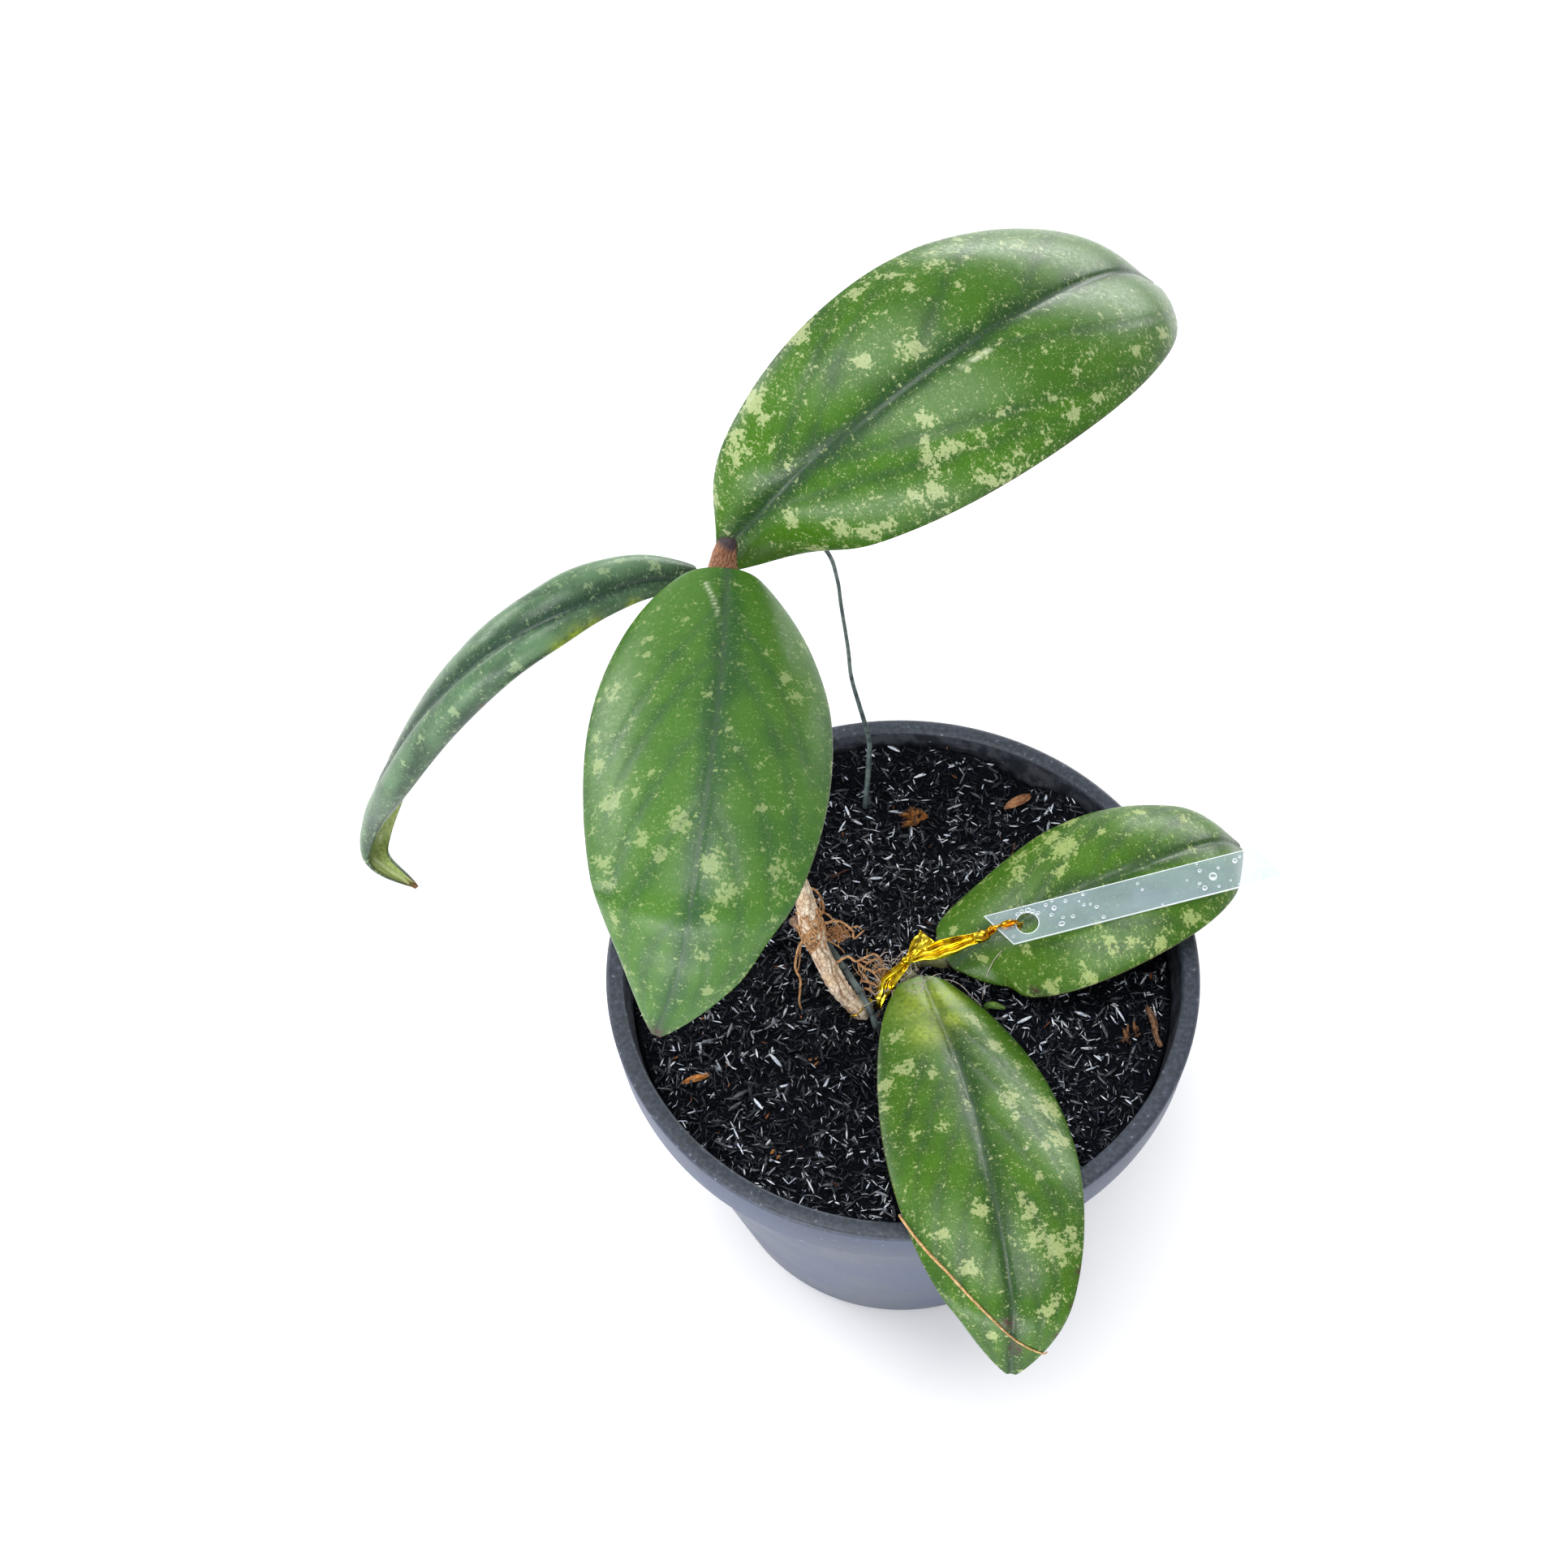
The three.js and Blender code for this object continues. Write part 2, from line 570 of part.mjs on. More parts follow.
// The label is cut aslant at both ends: a slanted strip with one punched hole.
function labelSolid() {
  const start = vector(LABEL.start);
  const lengthwise = vector(LABEL.end).sub(start);
  const length = lengthwise.length();
  const x = lengthwise.normalize();
  const cut = vector(LABEL.across);
  const slant = x.dot(cut) / 2;
  const y = cut.clone().addScaledVector(x, -x.dot(cut)).negate();
  const half = y.length() / 2;
  y.normalize();
  const z = new THREE.Vector3().crossVectors(x, y);
  const shape = new THREE.Shape();
  shape.moveTo(slant, -half);
  shape.lineTo(length + slant, -half);
  shape.lineTo(length - slant, half);
  shape.lineTo(-slant, half);
  const hole = new THREE.Path();
  hole.absarc(LABEL_HOLE_ALONG, 0, LABEL_HOLE_RADIUS, 0, 2 * Math.PI, true);
  shape.holes.push(hole);
  const geometry = new THREE.ExtrudeGeometry(shape, {
    depth: LABEL_THICKNESS,
    bevelEnabled: false,
    curveSegments: 12,
  });
  geometry.translate(0, 0, -LABEL_THICKNESS / 2);
  geometry.applyMatrix4(new THREE.Matrix4().makeBasis(x, y, z).setPosition(start));
  return solidOfGeometry(geometry);
}

// A split husk or a chip of bark: a low pointed body on the medium.
function bitSolid({ at, size, heading }, name) {
  const [length, width, height] = size;
  const geometry = new THREE.SphereGeometry(1, 8, 6).rotateX(Math.PI / 2);
  const position = geometry.getAttribute("position");
  for (let i = 0; i < position.count; i++) {
    const x = position.getX(i);
    const taper = name.startsWith("husk") ? 1 - 0.45 * x * x : 1 - 0.2 * Math.sin(3 * x + at[0]);
    const y = position.getY(i) * taper;
    position.setXYZ(i, (x * length) / 2, (y * width) / 2, (position.getZ(i) * height) / 2);
  }
  geometry.rotateZ(THREE.MathUtils.degToRad(heading));
  geometry.translate(at[0], at[1], surfaceAt(...at) + GAP + height / 2);
  return solidOfGeometry(geometry);
}

const stemSpace = limb(STEM, GAP).add(limb(STEM_STUB, GAP));
const shootSpace = limb(SHOOT, GAP);
const wireSpace = limb(WIRE, GAP);

addPiece("nursery_pot", potSolid(), 0x3b3d44, 0.55);
addPiece(
  "growing_medium",
  mediumSolid().subtract(stemSpace).subtract(shootSpace).subtract(wireSpace).subtract(limb(BUD, GAP)),
  0x1c1d20,
  0.9,
);
addPiece("main_stem", limb(STEM).add(limb(STEM_STUB)), 0xb8aa98, 0.85);
addPiece("lower_shoot", limb(SHOOT), 0x6f7a4a, 0.7);

const leafColours = {
  leaf_upper: 0x4f7346,
  leaf_left: 0x5d7358,
  leaf_centre: 0x5a8244,
  leaf_front: 0x54803f,
  leaf_right: 0x5a8a44,
};
for (const [name, leaf] of Object.entries(LEAVES)) {
  addPiece(name, leafSolid(leaf).subtract(stemSpace).subtract(shootSpace), leafColours[name], 0.45);
}

for (const [name, root] of Object.entries(ROOTS)) {
  addPiece(name, limb(root).subtract(stemSpace), 0xa9713c, 0.85);
}
addPiece(
  "root_tuft",
  ellipsoid(ROOT_TUFT).subtract(stemSpace).subtract(limb(ROOTS.root_right, GAP)),
  0xa8784a,
  0.9,
);

addPiece("support_wire", limb(WIRE), 0x3d4a45, 0.5);
addPiece("plant_label", labelSolid(), 0xd9e2ee, 0.25);

const towardsViewer = new THREE.Vector3(0, -0.56, 0.83);
let tie = limb(TIE_TWIST_UPPER)
  .add(ribbon(TIE_RIBBON, towardsViewer))
  .add(ribbon(TIE_WING, towardsViewer))
  .add(limb(TIE_TWIST_LOWER))
  .add(limb(TIE_LOOP));
for (const knot of TIE_KNOTS) tie = tie.add(ellipsoid(knot, 10));
addPiece("twist_tie", tie.subtract(stemSpace), 0xc9a227, 0.3);

const bitColours = {
  husk_back: 0xa8733f,
  husk_left: 0xa0662b,
  bark_chip_back: 0x9a6236,
  bark_chip_dark: 0x4a2c20,
  bark_chip_right: 0x9b7048,
  bark_chip_front: 0xc08a52,
  bark_chip_near: 0xb98546,
  stick: 0x7a5638,
};
for (const [name, bit] of Object.entries(BITS)) addPiece(name, bitSolid(bit, name), bitColours[name], 0.8);
addPiece("green_bud", limb(BUD), 0x6d9a3c, 0.5);

export default group;
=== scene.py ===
import math
import random

import bmesh
import bpy
from mathutils import Matrix, Vector, noise


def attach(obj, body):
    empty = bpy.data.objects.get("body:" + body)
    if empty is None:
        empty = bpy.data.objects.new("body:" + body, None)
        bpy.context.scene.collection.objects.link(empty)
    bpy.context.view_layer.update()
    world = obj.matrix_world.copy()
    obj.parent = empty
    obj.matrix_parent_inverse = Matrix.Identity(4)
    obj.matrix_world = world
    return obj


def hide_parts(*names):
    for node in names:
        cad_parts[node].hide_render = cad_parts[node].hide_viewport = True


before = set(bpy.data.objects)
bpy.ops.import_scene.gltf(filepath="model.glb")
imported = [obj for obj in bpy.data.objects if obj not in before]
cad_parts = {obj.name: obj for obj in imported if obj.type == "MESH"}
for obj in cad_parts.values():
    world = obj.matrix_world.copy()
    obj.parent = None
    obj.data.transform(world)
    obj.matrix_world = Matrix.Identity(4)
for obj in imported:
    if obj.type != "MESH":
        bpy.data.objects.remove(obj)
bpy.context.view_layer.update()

# A hoya cutting with splashed leaves in a round nursery pot of burnt rice husk. Places are in millimetres
# from the middle of the pot's foot, where the frame has them, and meshes are made in metres.
mm = 0.001
perPoint = 24  # places of a route from one of its points to the next
towardsViewer = Vector((0, -0.56, 0.83))
scene = bpy.context.scene
random.seed(7)


def mix(a, b, t):
    return a + (b - a) * t


def clamp(value, low=0.0, high=1.0):
    return max(low, min(high, value))


def smooth(edge0, edge1, value):
    t = clamp((value - edge0) / (edge1 - edge0))
    return t * t * (3 - 2 * t)


def lumps(point, size, seed=0.0):
    # soft noise from -1 to 1 with lumps about size across
    return noise.noise(Vector(point) / size + Vector((seed, -seed, 2 * seed)))


def along(values, t):
    # the value at t of a list spread evenly over 0 to 1
    place = clamp(t) * (len(values) - 1)
    i = min(int(place), len(values) - 2)
    return mix(values[i], values[i + 1], place - i)


def route(points):
    # a smooth line through the points: places on it, and the length run at each
    points = [Vector(p) for p in points]
    ends = [2 * points[0] - points[1]] + points + [2 * points[-1] - points[-2]]
    places = []
    for i in range(1, len(ends) - 2):
        before, here, after, beyond = ends[i - 1:i + 3]
        leave = (after - before) / 2
        arrive = (beyond - here) / 2
        for k in range(perPoint):
            t = k / perPoint
            cubic = (2 * here - 2 * after + leave + arrive) * t ** 3
            square = (3 * after - 3 * here - 2 * leave - arrive) * t ** 2
            places.append(cubic + square + leave * t + here)
    places.append(ends[-2])
    runs = [0.0]
    for a, b in zip(places, places[1:]):
        runs.append(runs[-1] + (b - a).length)
    return places, runs


def pointAt(line, s):
    places, runs = line
    want = clamp(s) * runs[-1]
    low, high = 0, len(runs) - 1
    while high - low > 1:
        middle = (low + high) // 2
        if runs[middle] <= want:
            low = middle
        else:
            high = middle
    return places[low].lerp(places[high], (want - runs[low]) / max(runs[high] - runs[low], 1e-9))


def tangentAt(line, s, step=0.004):
    return (pointAt(line, s + step) - pointAt(line, s - step)).normalized()


# Meshes.
def piece(name, bm, materials, nodes=(), smoothed=True):
    # a finished mesh as an object of the frame's one body
    mesh = bpy.data.meshes.new(name)
    bm.to_mesh(mesh)
    bm.free()
    for material in materials:
        mesh.materials.append(material)
    mesh.polygons.foreach_set("use_smooth", [smoothed] * len(mesh.polygons))
    made = bpy.data.objects.new(name, mesh)
    scene.collection.objects.link(made)
    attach(made, "root")
    if nodes:
        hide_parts(*nodes)
    return made


def skin(rows, around, place, scale=(1.0, 1.0)):
    # a grid rolled into a closed skin: place(u, s) is the point at u round it and s along it, both 0 to 1
    bm = bmesh.new()
    bmesh.ops.create_grid(bm, x_segments=around, y_segments=rows, size=0.5)
    layer = bm.loops.layers.uv.new("UVMap")
    for face in bm.faces:
        for loop in face.loops:
            across, down = loop.vert.co.x + 0.5, loop.vert.co.y + 0.5
            loop[layer].uv = (across * scale[0], down * scale[1])
    for vert in bm.verts:
        vert.co = place(vert.co.x + 0.5, vert.co.y + 0.5) * mm
    return bm


def closed(bm, gap=1e-6):
    bmesh.ops.remove_doubles(bm, verts=bm.verts, dist=gap)
    bmesh.ops.holes_fill(bm, edges=[edge for edge in bm.edges if edge.is_boundary], sides=0)
    bmesh.ops.recalc_face_normals(bm, faces=bm.faces)
    return bm


def tube(points, radii, sides, steps, relief=None):
    # a round limb with rounded ends: relief(run, angle) is added to its radius, and angle 0 faces the viewer.
    # Radii go with the points where there are as many of both, and else are spread evenly
    line = route(points)
    runs = line[1]
    length = runs[-1]
    stations = [runs[min(perPoint * i, len(runs) - 1)] / length for i in range(len(points))]

    def radiusAt(s):
        if len(radii) != len(points):
            return along(radii, s)
        i = max(k for k in range(len(points) - 1) if stations[k] <= s or k == 0)
        return mix(radii[i], radii[i + 1], (s - stations[i]) / (stations[i + 1] - stations[i]))

    across = towardsViewer
    frames = []
    for i in range(steps + 1):
        s = i / steps
        tangent = tangentAt(line, s)
        flat = across - tangent * across.dot(tangent)
        across = (flat if flat.length > 0.05 else tangent.orthogonal()).normalized()
        frames.append((pointAt(line, s), across.copy(), tangent.cross(across), radiusAt(s)))
        across = across.lerp(towardsViewer, 0.2)

    def place(u, s):
        centre, first, second, radius = frames[round(s * steps)]
        toEnd = min(s, 1 - s) * length / radius
        angle = math.tau * u
        if relief:
            radius += relief(s * length, angle)
        if toEnd < 1:
            radius *= math.sqrt(max(0.03, 1 - (1 - toEnd) ** 2))
        return centre + (first * math.cos(angle) + second * math.sin(angle)) * radius

    girth = math.tau * sum(radii) / len(radii)
    return closed(skin(steps, sides, place, (girth / 10, length / 10)))


def knobbly(depth, size, girth=1, stretch=1, seed=0.0):
    # relief for a tube: lumps this deep and about this size across
    def relief(run, angle):
        return depth * lumps((run * stretch, girth * math.cos(angle), girth * math.sin(angle)), size, seed)

    return relief


def turned(profile, steps):
    # a closed skin, turned about the pot's axis from a profile of radii and heights
    bm = bmesh.new()
    verts = [bm.verts.new((r * mm, 0, z * mm)) for r, z in profile]
    edges = [bm.edges.new(pair) for pair in zip(verts, verts[1:])]
    bmesh.ops.spin(bm, geom=verts + edges, cent=(0, 0, 0), axis=(0, 0, 1), angle=math.tau, steps=steps,
                   use_merge=True)
    return closed(bm, 1e-5)


def gather(parts, material=None):
    # several meshes as one, each with its own material's number where they are given
    bm = bmesh.new()
    for index, part in enumerate(parts):
        store = bpy.data.meshes.new("part")
        for face in part.faces:
            face.material_index = material[index] if material else 0
        part.to_mesh(store)
        part.free()
        bm.from_mesh(store)
        bpy.data.meshes.remove(store)
    return bm


# Shader nodes.
def put(tree, socket, value):
    if isinstance(value, bpy.types.NodeSocket):
        tree.links.new(value, socket)
    elif value is not None:
        socket.default_value = value


def add(tree, kind, inputs=None, **settings):
    made = tree.nodes.new("ShaderNode" + kind)
    for name, value in settings.items():
        setattr(made, name, value)
    for name, value in (inputs or {}).items():
        put(tree, made.inputs[name], value)
    return made


def calc(tree, operation, first, second=None, third=None):
    made = add(tree, "Math", operation=operation)
    for socket, value in zip(made.inputs, (first, second, third)):
        put(tree, socket, value)
    return made.outputs[0]


def ramp(tree, value, start, end, low=0.0, high=1.0):
    made = add(tree, "MapRange", interpolation_type="SMOOTHSTEP")
    for socket, number in zip(made.inputs, (value, start, end, low, high)):
        put(tree, socket, number)
    return made.outputs[0]


def tint(tree, share, first, second):
    made = add(tree, "Mix", data_type="RGBA")
    for index, value in ((0, share), (6, first), (7, second)):
        put(tree, made.inputs[index], value)
    return made.outputs[2]


def objectPlace(tree):
    return add(tree, "TexCoord").outputs["Object"]


def skinPlace(tree):
    # the place on a rolled skin: x across it and y along it, in centimetres
    return add(tree, "UVMap", uv_map="UVMap").outputs[0]


def painted(tree, name):
    # a value kept at the mesh's points
    return add(tree, "Attribute", attribute_name=name).outputs["Fac"]


def noisy(tree, place, scale, detail, roughness=None):
    inputs = {"Vector": place, "Scale": scale, "Detail": detail, "Roughness": roughness}
    return add(tree, "TexNoise", inputs).outputs[0]


def rgb(red, green, blue):
    # a colour as a screen shows it, 0 to 255, in the scene's linear light
    def linear(value):
        value /= 255
        return value / 12.92 if value <= 0.04045 else ((value + 0.055) / 1.055) ** 2.4

    return linear(red), linear(green), linear(blue), 1.0


def finish(name, **values):
    # a new material: its tree, and its shader with plain values
    material = bpy.data.materials.new(name)
    material.use_nodes = True
    tree = material.node_tree
    shader = tree.nodes["Principled BSDF"]
    for socket, value in values.items():
        shader.inputs[socket.replace("_", " ")].default_value = value
    return material, tree, shader


def bumped(tree, shader, height, distance, strength=1.0):
    bump = add(tree, "Bump", {"Height": height, "Strength": strength, "Distance": distance})
    tree.links.new(bump.outputs[0], shader.inputs["Normal"])


def group(name, inputs, outputs):
    made = bpy.data.node_groups.new(name, "ShaderNodeTree")
    kinds = {"v": "NodeSocketVector", "f": "NodeSocketFloat", "c": "NodeSocketColor"}
    for label, kind in inputs:
        made.interface.new_socket(label, in_out="INPUT", socket_type=kinds[kind])
    for label, kind in outputs:
        made.interface.new_socket(label, in_out="OUTPUT", socket_type=kinds[kind])
    given = made.nodes.new("NodeGroupInput").outputs
    result = made.nodes.new("NodeGroupOutput").inputs
    return made, given, result


# Camera: high in front of the pot, turned a little about its own axis.
camera = dict(place=(-26.7, -266.3, 588.7), down=55.97, roll=-3.74, lens=49.38, sensor=36)


def makeCamera():
    data = bpy.data.cameras.new("camera")
    data.lens = camera["lens"]
    data.sensor_width = camera["sensor"]
    data.clip_end = 20
    view = bpy.data.objects.new("camera", data)
    scene.collection.objects.link(view)
    down = math.radians(camera["down"])
    roll = math.radians(camera["roll"])
    ahead = Vector((0, math.cos(down), -math.sin(down)))
    level = Vector((1, 0, 0))
    upward = level.cross(ahead)
    right = level * math.cos(roll) + upward * math.sin(roll)
    up = upward * math.cos(roll) - level * math.sin(roll)
    turn = Matrix((right, up, -ahead)).transposed().to_4x4()
    view.matrix_world = Matrix.Translation(Vector(camera["place"]) * mm) @ turn
    scene.camera = view


# Light: a white surround, a broad softbox overhead, and lower ones in front and at the back.
lights = {
    "overhead": dict(place=(-250, -150, 1500), target=(0, 0, 100), size=(1100, 1000), power=18),
    "frontLow": dict(place=(-650, -1300, 270), target=(-30, -20, 190), size=(1700, 300), power=19),
    "backLeft": dict(place=(-1300, 900, 700), target=(-40, 40, 180), size=(900, 600), power=12),
    "backRight": dict(place=(700, 1400, 600), target=(20, 70, 200), size=(1500, 400), power=19),
}
surround = dict(colour=(0.96, 0.97, 1.0, 1.0), strength=0.6)


def makeLights():
    for name, light in lights.items():
        data = bpy.data.lights.new(name, "AREA")
        data.shape = "RECTANGLE"
        data.size, data.size_y = (side * mm for side in light["size"])
        data.energy = light["power"]
        lamp = bpy.data.objects.new(name, data)
        scene.collection.objects.link(lamp)
        lamp.location = Vector(light["place"]) * mm
        aim = (Vector(light["target"]) - Vector(light["place"])).to_track_quat("-Z", "Y")
        lamp.rotation_euler = aim.to_euler()
    world = bpy.data.worlds.new("surround")
    world.use_nodes = True
    background = world.node_tree.nodes["Background"]
    background.inputs["Color"].default_value = surround["colour"]
    background.inputs["Strength"].default_value = surround["strength"]
    scene.world = world
    scene.view_settings.view_transform = "Standard"


def makeFloor():
    bm = bmesh.new()
    bmesh.ops.create_grid(bm, x_segments=1, y_segments=1, size=3)
    mesh = bpy.data.meshes.new("floor")
    bm.to_mesh(mesh)
    bm.free()
    floor = bpy.data.objects.new("floor", mesh)
    scene.collection.objects.link(floor)
    material, _, shader = finish("pale floor", Roughness=0.8)
    shader.inputs["Base Color"].default_value = (0.93, 0.93, 0.94, 1)
    mesh.materials.append(material)


makeCamera()
makeLights()
makeFloor()
print("camera, lights and floor made")


# Nursery pot: one turned skin of thin plastic with a skirted rim and eight drain holes.
pot = dict(height=112, rimRadius=75, mouthRadius=70.4, rimThickness=1.6, skirtDrop=14, skirtRadius=74.2,
           footRadius=51, wall=1.4, floor=2, wallRadius=70.4, holes=8, holeRadius=4, holeCircle=40,
           steps=192, softened=0.35, drill=12, rimShadeAndGrain=(1.5, 0.3), dustFrom=60, middleSlope=0.2,
           middleFoot=50.2)


def potMaterial():
    material, tree, shader = finish("satin pot plastic", Roughness=0.42, Specular_IOR_Level=0.28)
    place = objectPlace(tree)
    cloud = noisy(tree, place, 28.0, 5.0)
    specks = noisy(tree, place, 900.0, 2.0)
    dust = noisy(tree, place, 260.0, 4.0)
    height = add(tree, "SeparateXYZ", {"Vector": place}).outputs[2]
    start, full = ((pot["height"] - below) * mm for below in pot["rimShadeAndGrain"])
    nearRim = ramp(tree, height, start, full)
    flat = add(tree, "Mapping", {"Vector": place, "Scale": (1.0, 1.0, 0.0)}).outputs[0]
    radius = add(tree, "VectorMath", {0: flat}, operation="LENGTH").outputs["Value"]
    wallMiddle = calc(tree, "MULTIPLY_ADD", height, pot["middleSlope"], pot["middleFoot"] * mm)
    inside = calc(tree, "LESS_THAN", radius, wallMiddle)
    # painted reflection: the wall's blue-grey tone stands partly for the white surround that the black
    # plastic reflects
    base = tint(tree, ramp(tree, cloud, 0.35, 0.65), rgb(60, 68, 86), rgb(71, 80, 102))
    # dust and painted shade: the pot's inside is darker and grubbier than its outer wall
    insideDustAndShade = tint(tree, ramp(tree, dust, 0.4, 0.6), rgb(32, 35, 43), rgb(60, 63, 71))
    base = tint(tree, inside, base, insideDustAndShade)
    # painted shade: the band at the rim's top is darker than the wall, with grainy specks on it
    rim = tint(tree, ramp(tree, specks, 0.35, 0.65), rgb(47, 52, 60), rgb(60, 66, 77))
    base = tint(tree, nearRim, base, rim)
    base = tint(tree, calc(tree, "MULTIPLY", ramp(tree, specks, 0.69, 0.74), 0.3), base, rgb(180, 184, 194))
    dustyHeight = ramp(tree, height, pot["dustFrom"] * mm, pot["height"] * mm, 0.1, 0.35)
    dusty = calc(tree, "MULTIPLY", ramp(tree, dust, 0.6, 0.72), dustyHeight)
    base = tint(tree, dusty, base, rgb(52, 50, 52))
    put(tree, shader.inputs["Base Color"], base)
    put(tree, shader.inputs["Roughness"], ramp(tree, cloud, 0.3, 0.7, 0.34, 0.5))
    bumped(tree, shader, specks, 0.00004)
    return material


def makePot():
    p = pot
    top = p["height"]
    under = top - p["rimThickness"]
    skirtFoot = top - p["skirtDrop"]
    inner = p["wallRadius"] - p["wall"]
    profile = [
        (0, 0), (p["footRadius"] - 1, 0), (p["footRadius"], 0.8), (p["wallRadius"], skirtFoot),
        (p["mouthRadius"] + p["wall"], under), (p["rimRadius"] - p["wall"], under),
        (p["skirtRadius"] - p["wall"], skirtFoot), (p["skirtRadius"], skirtFoot),
        (p["skirtRadius"] + 0.2, skirtFoot + 1.2), (p["rimRadius"], top - 0.9), (p["rimRadius"] - 0.8, top),
        (p["mouthRadius"] + 0.5, top), (p["mouthRadius"], top - 0.6), (inner, skirtFoot),
        (p["footRadius"] - p["wall"] + 0.3, p["floor"] + 1), (p["footRadius"] - p["wall"] - 1.5, p["floor"]),
        (0, p["floor"]),
    ]
    bm = turned(profile, p["steps"])
    rings = []
    for edge in bm.edges:
        a, b = edge.verts
        level = abs(a.co.z - b.co.z) < 1e-6 and abs(a.co.xy.length - b.co.xy.length) < 1e-6
        if level and edge.is_manifold and edge.calc_face_angle() > 0.3:
            rings.append(edge)
    bmesh.ops.bevel(bm, geom=rings, offset=p["softened"] * mm, affect="EDGES", segments=2, profile=0.5,
                    material=-1, clamp_overlap=True)
    made = piece("pot_shell", bm, [potMaterial()], ["nursery_pot"])

    cutter = bmesh.new()
    for i in range(p["holes"]):
        angle = math.tau * (i + 0.5) / p["holes"]
        spot = Vector((math.cos(angle), math.sin(angle), 0)) * p["holeCircle"] * mm
        radius = p["holeRadius"] * mm
        bmesh.ops.create_cone(cutter, cap_ends=True, segments=40, radius1=radius, radius2=radius,
                              depth=p["drill"] * mm, matrix=Matrix.Translation(spot))
    store = bpy.data.meshes.new("drains")
    cutter.to_mesh(store)
    cutter.free()
    drains = bpy.data.objects.new("drains", store)
    scene.collection.objects.link(drains)
    cut = made.modifiers.new("drains", "BOOLEAN")
    cut.operation = "DIFFERENCE"
    cut.solver = "EXACT"
    cut.object = drains
    bpy.context.view_layer.update()
    drilled = bpy.data.meshes.new_from_object(made.evaluated_get(bpy.context.evaluated_depsgraph_get()))
    made.modifiers.clear()
    made.data = drilled
    bpy.data.objects.remove(drains)


makePot()
print("pot made")


# Growing medium: a bed of packed husk under thousands of loose flakes.
bed = dict(top=100, bump=0.3, foot=2.3, gap=0.7, rings=66, steps=180, rough=0.75, clump=1.1,
           heap=7.5, heapFrom=59, heapFull=68.5, hollows=((36.4, 52.4, 7), (-4.6, 57, 4)),
           flakeReach=68.0, flakeLimit=69.2, brownEvery=160)
# Flakes: length, width over length, how deep the boat is, the grid of one flake, tilt, how far they rise
# from the bed, and how many in a hundred are grey or pale. The pale ones stand partly for ash and partly for
# painted glints.
flakes = [
    dict(name="husk_flakes_long", count=3500, length=(2.0, 5.0), width=(0.13, 0.24), cup=0.5, round=(6, 5),
         tilt=0.35, rise=1.5, grey=8, pale=3),
    dict(name="husk_flakes_short", count=6000, length=(0.7, 2.2), width=(0.18, 0.42), cup=0.3, round=(5, 4),
         tilt=0.5, rise=1.4, grey=10, pale=6),
    dict(name="husk_slivers", count=6400, length=(0.9, 3.1), width=(0.11, 0.21), cup=0.2, round=(5, 4),
         tilt=0.4, rise=1.8, grey=10, pale=16),
]


def surfaceAt(x, y):
    rise = math.sin(x / 7 + 1) * math.cos(y / 9) + 0.6 * math.sin((x - y) / 11)
    radius = math.hypot(x, y)
    heap = bed["heap"] * smooth(bed["heapFrom"], bed["heapFull"], radius)
    heap *= smooth(0.0, 0.7, y / max(radius, 1))
    for spotX, spotY, size in bed["hollows"]:
        heap *= 1 - math.exp(-((x - spotX) ** 2 + (y - spotY) ** 2) / size ** 2)
    return bed["top"] + bed["bump"] * rise + heap


def clumpAt(x, y):
    # where the husk lies in loose heaps, from -1 to 1
    return lumps((x, y, 0), 7, 8)


def wallAt(z):
    # the pot wall's inner radius at height z
    low, high = pot["floor"] + 1, pot["height"] - pot["skirtDrop"]
    footInner = pot["footRadius"] - pot["wall"] + 0.3
    return mix(footInner, pot["wallRadius"] - pot["wall"], (z - low) / (high - low))


def bedMaterial():
    material, tree, shader = finish("burnt husk bed", Roughness=0.85, Specular_IOR_Level=0.08)
    place = objectPlace(tree)
    grain = noisy(tree, place, 700.0, 6.0, 0.7)
    ash = add(tree, "TexVoronoi", {"Vector": place, "Scale": 900.0}).outputs["Distance"]
    base = tint(tree, ramp(tree, grain, 0.35, 0.7), rgb(2, 3, 5), rgb(15, 18, 27))
    base = tint(tree, ramp(tree, ash, 0.1, 0.04, 0, 0.35), base, rgb(110, 112, 120))
    put(tree, shader.inputs["Base Color"], base)
    bumped(tree, shader, grain, 0.0006)
    return material


def flakeMaterial():
    material, tree, shader = finish("burnt husk flakes", Specular_IOR_Level=0.32)
    tone = painted(tree, "tone")
    place = objectPlace(tree)
    streak = noisy(tree, place, 1500.0, 3.0)
    dark = tint(tree, ramp(tree, streak, 0.35, 0.7), rgb(2, 4, 9), rgb(18, 25, 42))
    # partly ash, partly painted glints: the pale flakes are near white
    pale = tint(tree, ramp(tree, streak, 0.35, 0.65), rgb(196, 208, 232), rgb(252, 254, 255))
    base = tint(tree, ramp(tree, tone, 0.35, 1.0), dark, pale)
    base = tint(tree, ramp(tree, tone, 1.4, 1.6), base, rgb(128, 74, 40))
    put(tree, shader.inputs["Base Color"], base)
    put(tree, shader.inputs["Roughness"], ramp(tree, streak, 0.3, 0.7, 0.18, 0.42))
    bumped(tree, shader, streak, 0.0001)
    return material


